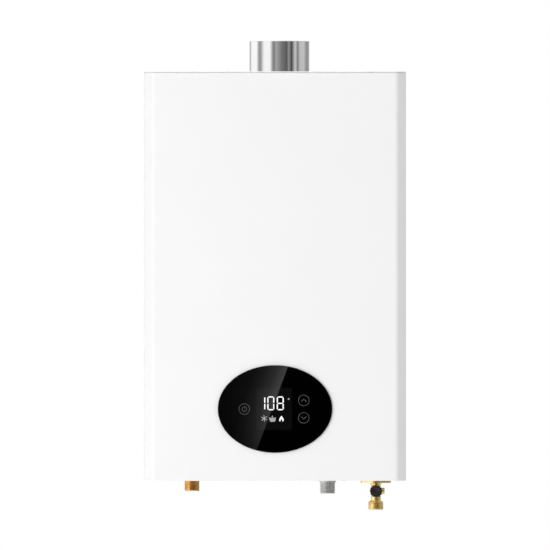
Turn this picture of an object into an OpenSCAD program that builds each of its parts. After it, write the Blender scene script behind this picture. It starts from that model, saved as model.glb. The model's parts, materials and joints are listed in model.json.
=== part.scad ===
// Wall-hung gas water heater with an oval glass control panel, a fan-driven flue and three pipe
// connections underneath. Heights are measured from the lower edge of the casing, depths from the
// wall (front is -Y), and the finished part is moved so that its origin lies on the wall, midway
// between the two hanging keyholes.

/* [Casing] */
// Width of the casing
case_w = 350; // [330:1:420]
// Height of the casing
case_h = 547; // [530:1:640]
// Depth from the wall to the front face
case_d = 142; // [140:1:170]
// Thickness of the casing sheet
sheet = 1; // [0.8:0.1:1.4]
// Outside bend radius of the back shell
shell_bend = 3; // [2:0.5:5]
// Width of the slanted flange along each upright front edge
slant_w = 12; // [8:0.5:16]
// Bend radius between the front and a slanted flange
slant_bend = 8; // [5:0.5:12]
// Bend radius between a slanted flange and the side
side_bend = 5; // [3:0.5:8]
// Radius of the top and bottom front edges
lip_r = 3; // [2:0.5:5]
// Depth of the cover's top and bottom lips
lip_d = 30; // [26:1:40]
// Clearance between the cover and the back shell
cover_gap = 0.4; // [0.3:0.05:0.6]
// Distance from the wall to the cover's rear edge
cover_rear = 18; // [12:1:30]
// Depth of the back shell's side flanges
flange_d = 42; // [36:1:60]
// Width of an air slot in the bottom plate
slot_w = 4; // [3:0.5:5]
// Length of an air slot in the bottom plate
slot_l = 26; // [16:1:28]
// Pitch of the air slots
slot_pitch = 10; // [8:0.5:14]

/* [Wall fixing] */
// Distance from the top edge down to the hanging keyholes
hang_drop = 52; // [46:1:60]
// Distance between the hanging keyholes
hang_spacing = 250; // [240:1:270]
// Radius of a keyhole's round end
keyhole_r = 6; // [5:0.5:7]
// Width of a keyhole's slot
keyslot_w = 6.5; // [5:0.5:7]
// Rise of a keyhole's slot above its round end
keyslot_rise = 14; // [12:1:18]
// Height of the lower screw holes
lower_hole_z = 30; // [22:1:38]
// Radius of the lower screw holes
lower_hole_r = 3; // [2.5:0.25:4]

/* [Flue] */
// Outside diameter of the flue collar
flue_d = 80; // [76:0.5:82]
// Wall of the flue collar
flue_wall = 0.8; // [0.6:0.1:1.2]
// Height of the flue collar above the casing
flue_rise = 42; // [30:1:60]
// Sideways offset of the flue collar
flue_x = 6; // [0:1:12]
// Width of the collar's hidden base flange
flue_rim = 8; // [6:1:10]

/* [Control panel] */
// Width of the oval glass
panel_w = 153; // [140:1:165]
// Height of the oval glass
panel_h = 117; // [105:1:125]
// Height of the panel's centre
panel_z = 96; // [88:1:100]
// Thickness of the glass
glass_t = 2.2; // [1.6:0.1:3]
// Thickness of the carrier's rim between glass and cover
rim_t = 1.2; // [1:0.1:2]
// Width of the rim that laps the cover
rim_lap = 3; // [2:0.5:4]
// Depth of the carrier behind the cover
carrier_d = 20; // [16:1:22]
// Wall of the carrier
carrier_wall = 2; // [1.5:0.1:2.5]
// Width of the display module
display_w = 48; // [40:1:52]
// Height of the display module
display_h = 56; // [48:1:60]
// Width of the display board
display_board_w = 104; // [98:1:108]
// Height of the display board
display_board_h = 66; // [60:1:70]

/* [Connections] */
// Outside diameter of the three pipe threads
thread_d = 20.95; // [19:0.05:22]
// Sideways place of the hot outlet
hot_x = -111.5; // [-116:0.5:-105]
// Reach of the hot outlet below the casing
hot_drop = 15.2; // [12:0.2:18]
// Sideways place of the gas inlet
gas_x = 70.7; // [66:0.1:74]
// Reach of the gas inlet below the casing
gas_drop = 18.6; // [15:0.2:22]
// Distance of the cold inlet from the casing's right side
cold_inset = 39.5; // [35:0.5:44]
// Reach of the cold inlet below the casing
cold_drop = 40.6; // [39:0.1:46]
// Length of the cold inlet's thread
cold_thread_l = 12.1; // [9:0.1:13]
// Bore of the three connections
pipe_bore = 13; // [10:0.5:14]

/* [Inlet valve] */
// Diameter of the valve's necks
neck_d = 13; // [12:0.5:15]
// Length of the oval fixing flange
oval_w = 41; // [38:0.5:44]
// Width of the oval fixing flange
oval_d = 24; // [22:0.5:28]
// Thickness of the oval fixing flange
oval_t = 5.8; // [4:0.2:6]
// Depth of the drain knob's axis below the casing
knob_drop = 15; // [14:0.1:16]
// Diameter of the drain knob
knob_d = 17; // [15:0.5:18]
// Length of the drain knob
knob_l = 11; // [9:0.5:13]
// Number of flutes round the drain knob
knob_flutes = 12; // [8:1:16]
// Diameter of the valve barrel behind the knob
barrel_d = 16; // [15:0.5:17]
// Diameter of the drain spout
spout_d = 9; // [8:0.5:10]
// Reach of the drain spout from the valve's axis
spout_reach = 11.6; // [10:0.2:13]
// Bore of the drain spout
spout_bore = 4; // [3:0.5:5]
// Diameter of the drain spindle
spindle_d = 6; // [5:0.5:6.5]
// Outward travel of the drain spindle
drain_travel = 2; // [1.5:0.1:2.5]

/* [Fan] */
// Diameter of the impeller
impeller_d = 84; // [76:1:88]
// Length of the impeller's blades
blade_l = 30; // [24:1:32]
// Number of blades
blades = 30; // [20:1:36]
// Width of the scroll, from back plate to front plate
scroll_w = 44; // [40:1:46]
// Gap between the impeller and the scroll's tongue
tongue_gap = 5; // [4:0.5:7]
// Growth of the scroll from tongue to outlet
scroll_growth = 22; // [18:1:24]
// Width of the scroll's outlet
outlet_w = 54; // [46:1:58]
// Diameter of the inlet eye
eye_d = 62; // [54:1:66]
// Diameter of the fan shaft
shaft_d = 6; // [5:0.5:8]
// Diameter of the fan motor
motor_d = 58; // [50:1:64]
// Length of the fan motor
motor_l = 34; // [28:1:36]
// Sheet of the fan, hood, chamber and burner box
duct_t = 1; // [0.8:0.1:1.4]

/* [Heat exchanger] */
// Width of the combustion chamber
chamber_w = 222; // [200:1:226]
// Room in front of and behind the combustion chamber, for the coil and the gas manifold
chamber_room = 21; // [20:0.5:24]
// Corner radius of the combustion chamber
chamber_r = 12; // [8:1:14]
// Diameter of the copper tubes
tube_d = 12; // [10:0.5:13]
// Number of straight tubes through the fins, an odd number
tube_rows = 5; // [3:2:5]
// Pitch of the straight tubes
tube_pitch = 16; // [14:0.5:16]
// Number of fins
fins = 38; // [20:1:44]
// Thickness of a fin
fin_t = 0.6; // [0.4:0.1:1]
// Height of the fins
fin_h = 36; // [30:1:40]
// Number of times that the coil climbs round the chamber
coil_turns = 2; // [1:1:2]

/* [Burner] */
// Height of the burner box's floor
burner_z = 172; // [168:1:176]
// Height of the burner box
burner_h = 72; // [68:1:78]
// Number of burner blades
burners = 11; // [7:1:11]
// Thickness of a burner blade
burner_t = 9; // [7:0.5:10]
// Height of a burner blade
burner_blade_h = 38; // [32:1:40]
// Number of flame slots across a burner blade
flame_slots = 12; // [8:1:14]

/* [Gas valve] */
// Width of the gas valve's casting
valve_w = 56; // [52:1:60]
// Depth of the gas valve's casting
valve_d = 60; // [54:1:64]
// Height of the gas valve's casting
valve_h = 62; // [58:1:68]
// Diameter of a solenoid coil
coil_d = 24; // [22:0.5:25]
// Length of a solenoid coil
coil_l = 32; // [28:1:36]
// Diameter of a solenoid plunger
plunger_d = 9; // [8:0.5:10]
// Travel of a solenoid plunger
plunger_travel = 2.5; // [2:0.1:3]

/* [Flow sensor] */
// Outside diameter of the flow sensor
sensor_d = 30; // [28:0.5:32]
// Bore of the flow sensor
sensor_bore = 21; // [19:0.5:22]
// Height of the flow sensor
sensor_h = 74; // [70:1:90]
// Number of turbine blades
turbine_blades = 5; // [3:1:7]

/* [Fits] */
// Running clearance on the radius of a shaft
run_fit = 0.05; // [0.03:0.01:0.08]
// Seating clearance between parts that are slipped together
seat_fit = 0.1; // [0.05:0.05:0.2]

/* [Hidden] */
$fn = 64;
eps = 0.01;

// Casing
gap_in = sheet + cover_gap;              // from the cover's outside to the back shell's outside
floor_z = gap_in;                        // underside of the bottom plate
floor_top = floor_z + sheet;
roof_z = case_h - gap_in;                // upper side of the top plate
roof_under = roof_z - sheet;
shell_w = case_w - 2 * gap_in;
plate_front = -(case_d - lip_d / 2);     // front edge of the top and bottom plates
hang_z = case_h - hang_drop;
back_in = -sheet;                        // inner face of the back plate
front_in = -case_d + sheet;              // inner face of the front
mid_y = -case_d / 2;                     // depth of everything that is centred in the casing
cold_x = case_w / 2 - cold_inset;

// Countersunk sheet-metal screws
cs_d = 3.5;
cs_head_d = 7;
cs_head_h = 1.9;
cs_l = 9;
cover_screw_x = case_w / 2 - 45;
cover_screw_y = -case_d + lip_d * 0.75;

// Pan-head screws
pan_d = 3.5;
pan_head_d = 7;
pan_head_h = 2.2;
pan_l = 7;

// Control panel
face_y = -case_d;                        // outside of the cover's front
glass_y = face_y - rim_t;                // back of the glass
carrier_w = panel_w - 2 * rim_lap;
carrier_h = panel_h - 2 * rim_lap;
carrier_back = face_y + carrier_d;
board_t = 1.6;
board_set = 12;                          // from the casing's front to the display board
display_board_y = face_y + board_set;    // front of the display board
boss_r = 3.5;
boss_x = display_board_w / 2 - 6;
boss_z = display_board_h / 2 - 6;
key_left = 41;                           // keys beside the display
key_right = 38.4;
key_up = 11.5;
key_down = 11.8;
touch_keys = [[-key_left, 0], [key_right, key_up], [key_right, -key_down]];
touch_r = 6;

// Fan: axis, scroll and duct places, seen from the front
fan_outlet_mid = impeller_d / 2 + tongue_gap + scroll_growth - outlet_w / 2;
fan_x = flue_x - fan_outlet_mid;
flue_gasket_t = 2;
flue_flange_t = 1;
scroll_top = roof_under - flue_flange_t - flue_gasket_t;
scroll_r0 = impeller_d / 2 + tongue_gap;
scroll_r1 = scroll_r0 + scroll_growth;
scroll_low = scroll_r0 + scroll_growth * 0.7;   // radius of the scroll straight below the axis
fan_rise = scroll_r0 + 13;               // from the axis up to the outlet
fan_z = scroll_top - fan_rise;
scroll_back = mid_y + scroll_w / 2 + 2;  // rear face of the scroll
scroll_front = scroll_back - scroll_w;   // front face of the scroll, where its plate sits
front_plate_t = 1.2;
motor_back = scroll_front - front_plate_t;
motor_flange_t = 2;
motor_flange_d = motor_d + 16;
impeller_back = scroll_back - duct_t - 5;
impeller_front = impeller_back - blade_l;
hub_d = 14;
hub_l = 16;
disc_t = 1.5;
ring_t = 2;
outlet_left = scroll_r1 - outlet_w;      // left wall of the outlet, from the axis
tongue_deg = acos(outlet_left / scroll_r0);

// Chamber and hood
burner_top = burner_z + burner_h;
hood_base = 6;
hood_slope = 10;
chamber_top = fan_z - scroll_low - hood_base - hood_slope - 4;
chamber_h = chamber_top - burner_top;
chamber_d = case_d - 2 * chamber_room;
chamber_back = mid_y + chamber_d / 2;
chamber_front = mid_y - chamber_d / 2;
chamber_rim = 5;
tube_r = tube_d / 2;
fin_z = chamber_top - fin_h / 2 - 1.5;   // middle of the fin stack and of the tubes
fin_span = chamber_w - 2 * chamber_r;   // the fins stand between the round corners
tube_end = chamber_w / 2 + tube_pitch / 2 + 2;   // the return bends lie outside the chamber
tube_first_y = mid_y + tube_pitch * (tube_rows - 1) / 2;
tube_last_y = mid_y - tube_pitch * (tube_rows - 1) / 2;
bend_r = 11;
hood_duct_w = eye_d + 40;
hood_top = fan_z + eye_d / 2 + 12;

// Coil round the chamber
coil_clear = 0.3;
coil_hw = chamber_w / 2 + tube_r + coil_clear;
coil_hd = chamber_d / 2 + tube_r + coil_clear;
coil_z1 = burner_top + duct_t + tube_r + 8;
coil_top = fin_z - fin_h / 2 - tube_r - 4;
coil_pitch = (coil_top - coil_z1) / coil_turns;
coil_exit_x = coil_hw + 22;
sensor_top = floor_top + sensor_h;
coil_route = concat(
    [
        [cold_x, mid_y, sensor_top],
        [cold_x, mid_y, coil_z1],
        [cold_x, mid_y - coil_hd, coil_z1],
    ],
    [
        for (i = [0 : coil_turns - 1], k = [0 : 4])
            if (!(i == coil_turns - 1 && k >= 3)) coil_corner(i, k)
    ],
    [
        [coil_exit_x, mid_y + coil_hd, coil_top],
        [coil_exit_x, tube_first_y, coil_top],
        [coil_exit_x, tube_first_y, fin_z],
        [tube_end, tube_first_y, fin_z],
    ]
);

// Pipe threads: relief groove of the hot outlet, plain collar of the gas inlet
relief = 0.6;
relief_z = -0.5;
gas_collar_r = thread_d / 2 + 0.4;
collar_z = -4;

// Hot pipe
hot_top_z = 36;                          // upper end of the outlet nipple
hot_run_up = 26;                         // straight run above the nipple
hot_side_gap = 22;                       // from the coil to the pipe's way down
hot_run_z = hot_top_z + hot_run_up;
hot_pipe_x = -(coil_hw + hot_side_gap);
probe_up = 60;                           // first temperature probe above the run
probe_pitch = 30;
hot_route = [
    [-tube_end, tube_last_y, fin_z],
    [hot_pipe_x, tube_last_y, fin_z],
    [hot_pipe_x, tube_last_y, hot_run_z],
    [hot_pipe_x, mid_y, hot_run_z],
    [hot_x, mid_y, hot_run_z],
    [hot_x, mid_y, hot_top_z],
];

// Burner
port_z = burner_z + 20;
port_r = 7;
burner_pitch = (chamber_w - 2 * duct_t - 14) / burners;
rail_h = 8;
burner_blade_z = burner_z + duct_t + rail_h;
manifold_y = chamber_front - 6;          // rear face of the manifold
manifold_d = 9;
manifold_h = 16;
manifold_w = burner_pitch * (burners - 1) + 24;
injector_l = 5.5;
injector_hex_r = 4.5;                    // over the corners of its hexagon
injector_root_r = 3.4;
injector_tip_r = 2.2;
jet_r = 0.8;
jet_floor = 1;
electrode_z = burner_top - 6;
electrode_r = 3.5;
electrode_y = chamber_front - 10;        // front end of an electrode's ceramic
igniter_x = [-96, -84];
flame_rod_x = 78;

// Gas valve
valve_z = 26;
valve_top = valve_z + valve_h;
plunger_y = mid_y + 8;
plunger_dx = coil_d / 2 + 1.5;
plunger_seat_z = valve_top - 18;         // floor of the chamber under each coil
plunger_disc_t = 3;
plunger_disc_r = 8;
plunger_room_r = plunger_disc_r + 1.5;
plunger_l = coil_l * 0.55;
core_l = coil_l * 0.3;
gas_out_y = mid_y - valve_d / 2 + 9;
gas_pipe_r = 6;
gas_route = [
    [gas_x, gas_out_y, valve_top],
    [gas_x, gas_out_y, burner_z - 14],
    [gas_x, manifold_y - manifold_d / 2, burner_z - 14],
    [gas_x, manifold_y - manifold_d / 2, port_z - manifold_h / 2],
];

// Inlet valve, along its drain axis towards the front
knob_z = -knob_drop;
through_r = 4;                           // bore up through the valve
gland_l = 4;
gland_af = 13;
gland_in = 5;
knob_gap = 0.6;
jumper_r = 4.4;
jumper_t = 3;
jumper_back = mid_y - through_r - 2;
drain_room = drain_travel + 1.5;         // chamber in front of the jumper
spout_y = jumper_back - jumper_t - drain_room / 2;
barrel_back = mid_y + 8;
barrel_front = jumper_back - jumper_t - drain_room - gland_in;
drain_bore_r = jumper_r + 0.4;
knob_back = barrel_front - gland_l - knob_gap;
oval_bottom = floor_z - oval_t;
tail_top = -(cold_drop - cold_thread_l);
spigot_r = sensor_bore / 2 - seat_fit;
spigot_top = floor_top + 10;

// Flow sensor
cage_t = 5;
cage_low = floor_top + 22;
turbine_z = cage_low + cage_t + 3;
turbine_l = 14;
cage_high = turbine_z + turbine_l + 3;
turbine_hub_r = 3.2;
turbine_pin_r = 1.2;
cage_hub_r = 3;
sensor_cap = 6;

// Control electronics, on the back plate at the lower left
tray_x = -case_w / 2 + 13;
tray_z = 48;
tray_w = 112;
tray_h = 96;
tray_d = 24;
tray_t = 2;
board_x = tray_x + 6;
board_z = tray_z + 6;
board_w = tray_w - 12;
board_h = tray_h - 12;
board_y = back_in - tray_t - 5;          // rear face of the board
part_margin = 14;                        // from the board's edge to its first part
relay = [15, 12, 18];
relay_pitch = 20;
relay_up = 12;
capacitor_r = 4.5;
capacitor_l = 13;
capacitor_pitch = 12;
capacitor_up = 44;
plug = [11, 8, 7];
plug_pitch = 15;
sink = [34, 12, 12];
sink_up = 54;
sink_slots = 5;
sink_wall = 2.5;
sink_pitch = 6.4;
igniter_mod = [52, 24, 36];
igniter_mod_x = -30;
igniter_mod_z = 108;

// Pressure switch, on the back plate at the upper right
switch_in = 63;                          // from the casing's right side
switch_down = 34;                        // below the fan's axis
switch_x = case_w / 2 - switch_in;
switch_z = fan_z - switch_down;
switch_r = 27;
switch_t = 20;
switch_step = 4;                         // base inside the rim
switch_rim = [5, 6, 11, 13];             // heights of the base, the two edges and the cap
switch_cap = [3, 6];                     // how far the cap draws in, below and on top
switch_tag = [6, 12, 4];                 // plug tags
switch_tag_x = 12;
hose_r = 3;
hose_tap_l = 7;                          // tap on the scroll
hose_end_l = 8;                          // tap on the switch
hose_y = scroll_back - scroll_w / 2;
hose_tap_down = 12;
hose_tap_z = fan_z - hose_tap_down;
hose_route = [
    [fan_x + scroll_r1 + hose_tap_l, hose_y, hose_tap_z],
    [switch_x, hose_y, hose_tap_z],
    [switch_x, hose_y, switch_z],
    [switch_x, back_in - switch_t - hose_end_l, switch_z],
];

// Brackets that carry the burner and the hood off the back plate
bracket_w = 120;
bracket_h = 22;
bracket_lip = 12;
bracket_t = 1.2;
bracket_zs = [burner_z + burner_h / 2, chamber_top - 18];

// Air slots and cable grommet in the bottom plate
slot_rear = 42;                          // rows behind and before the middle
slot_fore = 28;
slot_first = -78;
slot_last = 44;
slot_rows = [mid_y + slot_rear, mid_y - slot_fore];
slot_xs = [for (x = [slot_first : slot_pitch : slot_last]) x];
grommet_in = 35;                         // from the casing's left side
grommet_rear = 38;
grommet_x = -case_w / 2 + grommet_in;
grommet_y = mid_y + grommet_rear;
grommet_r = 8;

// Places and shared shapes

// Moves the part so that its origin is on the wall between the hanging keyholes
module in_frame() {
    translate([0, 0, -hang_z]) children();
}

// Extrudes a profile drawn in (x, z) from depth y towards the front
module toward_front(y, length) {
    translate([0, y, 0]) rotate([90, 0, 0]) linear_extrude(length) children();
}

// Extrudes a profile drawn in (y, z) from x towards the right
module toward_right(x, length) {
    translate([x, 0, 0]) rotate([90, 0, 90]) linear_extrude(length) children();
}

// A round bar from depth y towards the front, about an axis through (x, z)
module bar_y(x, y, z, r, length) {
    translate([x, y, z]) rotate([90, 0, 0]) cylinder(h = length, r = r);
}

// A round bar along x
module bar_x(x, y, z, r, length) {
    translate([x, y, z]) rotate([0, 90, 0]) cylinder(h = length, r = r);
}

// A rectangle about the origin with round corners
module rounded_rect(w, h, r) {
    square([w - 2 * r, h], center = true);
    square([w, h - 2 * r], center = true);
    for (sx = [-1, 1], sy = [-1, 1]) translate([sx * (w / 2 - r), sy * (h / 2 - r)]) circle(r);
}

// A slot about the origin with round ends, lying along y
module round_slot(w, l) {
    square([w, l - w], center = true);
    for (s = [-1, 1]) translate([0, s * (l - w) / 2]) circle(w / 2);
}

// An ellipse about the origin
module oval(w, h, steps = 120) {
    polygon([for (i = [0 : steps - 1]) [w / 2 * cos(360 * i / steps), h / 2 * sin(360 * i / steps)]]);
}

// A countersunk screw whose flat head lies in the plane z = 0 and faces up
module countersunk_screw() {
    translate([0, 0, -cs_head_h]) cylinder(h = cs_head_h, r1 = cs_d / 2, r2 = cs_head_d / 2);
    translate([0, 0, -cs_l]) cylinder(h = cs_l - cs_head_h + eps, r = cs_d / 2);
}

// The hole that a countersunk screw seats in
module countersunk_hole() {
    translate([0, 0, -cs_head_h - seat_fit])
        cylinder(h = cs_head_h + 3 * seat_fit, r1 = cs_d / 2 + seat_fit, r2 = cs_head_d / 2 + 3 * seat_fit);
    translate([0, 0, -cs_l - 1]) cylinder(h = cs_l, r = cs_d / 2 + seat_fit);
}

// A pan-head screw that seats on the plane z = 0 with its head up
module pan_screw(length = pan_l) {
    rotate_extrude() polygon([
        [0, -length], [pan_d / 2, -length], [pan_d / 2, 0], [pan_head_d / 2, 0],
        [pan_head_d / 2, pan_head_h * 0.5], [pan_head_d / 3, pan_head_h], [0, pan_head_h]
    ]);
}

// Pipe bent along a route of points, with round bends

function direction(a, b) = (b - a) / norm(b - a);
function square_to(d) = direction([0, 0, 0], abs(d[2]) < 0.9 ? cross([0, 0, 1], d) : cross([1, 0, 0], d));
function placed(x, y, z, o) = [
    [x[0], y[0], z[0], o[0]], [x[1], y[1], z[1], o[1]], [x[2], y[2], z[2], o[2]], [0, 0, 0, 1]
];
function turn_at(route, i) = acos(
    direction(route[i - 1], route[i]) * direction(route[i], route[i + 1])
);
function cut_back(route, i, bend) =
    i == 0 || i == len(route) - 1 ? 0 : bend * tan(turn_at(route, i) / 2);

// The largest bend up to limit that still leaves room between neighbouring corners
function roomy_bend(route, limit) = min(concat([limit], [
    for (i = [1 : len(route) - 3]) norm(route[i + 1] - route[i]) / 2
]));

module straight(a, b, r) {
    d = direction(a, b);
    x = square_to(d);
    multmatrix(placed(x, cross(d, x), d, a)) cylinder(h = norm(b - a), r = r);
}

module elbow(route, i, r, bend) {
    along = direction(route[i - 1], route[i]);
    out = direction(route[i], route[i + 1]);
    turn = turn_at(route, i);
    inward = (out - along * cos(turn)) / sin(turn);
    start = route[i] - along * cut_back(route, i, bend);
    multmatrix(placed(-inward, along, cross(-inward, along), start + inward * bend))
        rotate_extrude(angle = turn) translate([bend, 0]) circle(r);
}

module bent_pipe(route, r, limit) {
    bend = roomy_bend(route, limit);
    for (i = [0 : len(route) - 2]) {
        d = direction(route[i], route[i + 1]);
        from = route[i] + d * cut_back(route, i, bend);
        to = route[i + 1] - d * cut_back(route, i + 1, bend);
        if (norm(to - from) > eps) straight(from, to, r);
    }
    for (i = [1 : len(route) - 2]) elbow(route, i, r, bend);
}

// Corner k of coil turn i: front left, rear left, straight up, rear right, front right
function coil_corner(i, k) =
    let (z = coil_z1 + i * coil_pitch)
    k == 0 ? [-coil_hw, mid_y - coil_hd, z] :
    k == 1 ? [-coil_hw, mid_y + coil_hd, z] :
    k == 2 ? [-coil_hw, mid_y + coil_hd, z + coil_pitch] :
    k == 3 ? [coil_hw, mid_y + coil_hd, z + coil_pitch] :
             [coil_hw, mid_y - coil_hd, z + coil_pitch];

// Casing

// Outline of the cover from above, drawn in by inset and open to rear: each upright front edge is a
// flange slanted by 45 degrees between two round bends
module cover_plan(inset, rear) {
    hw = case_w / 2 - inset;
    front = -case_d + inset;
    leg = slant_w - inset * (2 - sqrt(2));
    bend = slant_bend - inset;
    turn = side_bend - inset;
    bend_cut = bend * tan(22.5);
    turn_cut = turn * tan(22.5);
    for (s = [0, 1]) mirror([s, 0]) {
        polygon([
            [0, rear], [0, front], [hw - leg - bend_cut, front],
            [hw - leg + bend_cut * sqrt(0.5), front + bend_cut * sqrt(0.5)],
            [hw - turn_cut * sqrt(0.5), front + leg - turn_cut * sqrt(0.5)],
            [hw, front + leg + turn_cut], [hw, rear]
        ]);
        translate([hw - leg - bend_cut, front + bend]) circle(bend);
        translate([hw - turn, front + leg + turn_cut]) circle(turn);
    }
}

// Outline of the cover from the side, drawn in by inset and open to rear
module cover_side(inset, rear) {
    r = lip_r - inset;
    front = -case_d + inset;
    tall = case_h - 2 * inset;
    translate([front + r, inset]) square([rear - front - r, tall]);
    translate([front, inset + r]) square([rear - front, tall - 2 * r]);
    for (z = [inset + r, inset + tall - r]) translate([front + r, z]) circle(r);
}

module cover_block(inset, rear) {
    intersection() {
        linear_extrude(case_h) cover_plan(inset, rear);
        toward_right(-case_w / 2, case_w) cover_side(inset, rear);
    }
}

// Puts its children at the four cover screws, head outwards
module at_cover_screws() {
    for (s = [-1, 1]) {
        translate([s * cover_screw_x, cover_screw_y, case_h]) children();
        translate([s * cover_screw_x, cover_screw_y, 0]) rotate([180, 0, 0]) children();
    }
}

module front_cover() {
    color("white") difference() {
        cover_block(0, -cover_rear);
        cover_block(sheet, 0);
        translate([-case_w / 2 + sheet, -case_d + lip_d, -eps])
            cube([case_w - 2 * sheet, case_d, case_h + 2 * eps]);
        translate([0, 0, panel_z]) toward_front(front_in + eps, sheet + 2 * eps)
            oval(carrier_w + 2 * seat_fit, carrier_h + 2 * seat_fit);
        at_cover_screws() countersunk_hole();
    }
}

module cover_screws() {
    color("silver") at_cover_screws() translate([0, 0, -seat_fit]) countersunk_screw();
}

// A wall keyhole: the round end lets a screw head in, the slot above drops on to its shank
module keyhole() {
    circle(keyhole_r);
    translate([-keyslot_w / 2, 0]) square([keyslot_w, keyslot_rise]);
    translate([0, keyslot_rise]) circle(keyslot_w / 2);
}

// Stiffening beads pressed into the back plate from outside
bead_w = 14;
bead_rise = 3;
bead_x = case_w / 2 - 34;
bead_low = burner_z + 14;
bead_high = chamber_top - 30;

module bead(w, y, depth) {
    for (s = [-1, 1]) translate([s * bead_x, 0, (bead_low + bead_high) / 2])
        toward_front(y, depth) round_slot(w, bead_high - bead_low + w);
}

// Outline of the back shell from above, drawn in by inset, from front back to the bent rear edges
module shell_plan(inset, front) {
    hw = shell_w / 2 - inset;
    r = shell_bend - inset;
    translate([-hw, front]) square([2 * hw, -front - inset - r]);
    translate([-hw + r, front]) square([2 * (hw - r), -front - inset]);
    for (s = [-1, 1]) translate([s * (hw - r), -inset - r]) circle(r);
}

// Outline of the back shell from the side, drawn in by inset
module shell_side(inset, front) {
    r = shell_bend - inset;
    low = floor_z + inset;
    high = roof_z - inset;
    translate([front, low]) square([-front - inset - r, high - low]);
    translate([front, low + r]) square([-front - inset, high - low - 2 * r]);
    for (z = [low + r, high - r]) translate([-inset - r, z]) circle(r);
}

module shell_block(inset, front) {
    intersection() {
        linear_extrude(case_h) shell_plan(inset, front);
        toward_right(-case_w / 2, case_w) shell_side(inset, front);
    }
}

module back_shell() {
    color("whitesmoke") difference() {
        union() {
            difference() {
                shell_block(0, plate_front);
                shell_block(sheet, plate_front - 1);
                translate([-shell_w / 2 - eps, plate_front - eps, floor_top])
                    cube([shell_w + 2 * eps, -plate_front - flange_d + eps, roof_under - floor_top]);
            }
            bead(bead_w + 2 * sheet, back_in + eps, bead_rise);
        }
        bead(bead_w, eps, bead_rise + eps);
        for (s = [-1, 1]) {
            translate([s * hang_spacing / 2, 0, hang_z]) toward_front(eps, sheet + 2 * eps) keyhole();
            bar_y(s * hang_spacing / 2, eps, lower_hole_z, lower_hole_r, sheet + 2 * eps);
        }
        translate([flue_x, mid_y, roof_under - eps])
            cylinder(h = sheet + 2 * eps, r = flue_d / 2 + 3 * seat_fit);
        for (x = [hot_x, gas_x]) translate([x, mid_y, floor_z - eps])
            cylinder(h = sheet + 2 * eps, r = gas_collar_r + 3 * seat_fit);
        translate([cold_x, mid_y, floor_z - eps]) cylinder(h = sheet + 2 * eps, r = spigot_r + seat_fit);
        translate([grommet_x, grommet_y, floor_z - eps])
            cylinder(h = sheet + 2 * eps, r = grommet_r + seat_fit);
        for (x = slot_xs, y = slot_rows) translate([x, y, floor_z - eps])
            linear_extrude(sheet + 2 * eps) round_slot(slot_w, slot_l);
        at_cover_screws() countersunk_hole();
        at_oval_screws() countersunk_hole();
    }
}

// Hat-section brackets between the back plate and the hot parts
module mounting_brackets() {
    reach = -chamber_back + back_in;
    color("silver") for (z = bracket_zs) translate([0, 0, z]) toward_right(-bracket_w / 2, bracket_w) {
        for (s = [-1, 1]) translate([0, s * (bracket_h / 2 - bracket_t / 2)])
            translate([chamber_back, -bracket_t / 2]) square([reach, bracket_t]);
        translate([chamber_back, -bracket_h / 2]) square([bracket_t, bracket_h]);
        for (s = [0, 1]) mirror([0, s]) translate([back_in - bracket_t, bracket_h / 2 - bracket_t])
            square([bracket_t, bracket_lip]);
    }
}

module cable_grommet() {
    lip = 1;
    color("dimgray") translate([grommet_x, grommet_y, 0]) rotate_extrude() polygon([
        [3.5, floor_z - lip], [grommet_r + 2, floor_z - lip], [grommet_r + 2, floor_z],
        [grommet_r, floor_z], [grommet_r, floor_top], [grommet_r + 2, floor_top],
        [grommet_r + 1, floor_top + 2], [5, floor_top + 6], [3.5, floor_top + 6]
    ]);
}

// Flue and fan

module flue_collar() {
    outer = flue_d / 2;
    inner = outer - flue_wall;
    low = roof_under - flue_flange_t;
    color("silver") translate([flue_x, mid_y, 0]) rotate_extrude() polygon([
        [inner, low], [outer + flue_rim, low], [outer + flue_rim, roof_under], [outer, roof_under],
        [outer, case_h + flue_rise], [inner, case_h + flue_rise]
    ]);
}

module flue_gasket() {
    rim = 6;
    color("dimgray") translate([flue_x, mid_y, scroll_top]) linear_extrude(flue_gasket_t) difference() {
        square([outlet_w + 2 * rim, scroll_w + 2 * rim], center = true);
        square([outlet_w - 2 * duct_t, scroll_w - 2 * duct_t], center = true);
    }
}

// Outline of the scroll about the fan's axis, drawn in by inset: the spiral opens anticlockwise
// into an outlet that runs straight up
module scroll(inset, top) {
    steps = 48;
    right = scroll_r1 - inset;
    polygon(concat(
        [[right, top]],
        [
            for (i = [0 : inset > 0 ? steps : steps - 1])
                let (share = i / steps, a = 360 - share * (360 - tongue_deg),
                     r = scroll_r1 - inset - share * scroll_growth)
                [r * cos(a), r * sin(a)]
        ],
        [
            [outlet_left + inset, (scroll_r0 - inset) * sin(tongue_deg)],
            [outlet_left + inset, top],
        ]
    ));
}

module at_fan_axis(y) {
    translate([fan_x, y, fan_z]) rotate([90, 0, 0]) children();
}

module fan_housing() {
    tap_r = hose_r;
    color("lightgray") {
        difference() {
            at_fan_axis(scroll_back) linear_extrude(scroll_w) scroll(0, fan_rise);
            at_fan_axis(scroll_back - duct_t) linear_extrude(scroll_w) scroll(duct_t, fan_rise + 1);
            at_fan_axis(scroll_back + eps) cylinder(h = duct_t + 2 * eps, r = eye_d / 2);
        }
        bar_x(fan_x + scroll_r1 - duct_t / 2, hose_y, hose_tap_z, tap_r, hose_tap_l + duct_t / 2);
    }
}

// Places of the three screws that hold the motor on the front plate
module at_motor_screws() {
    for (a = [30, 150, 270]) rotate(a) translate([motor_d / 2 + 4, 0, 0]) children();
}

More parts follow.
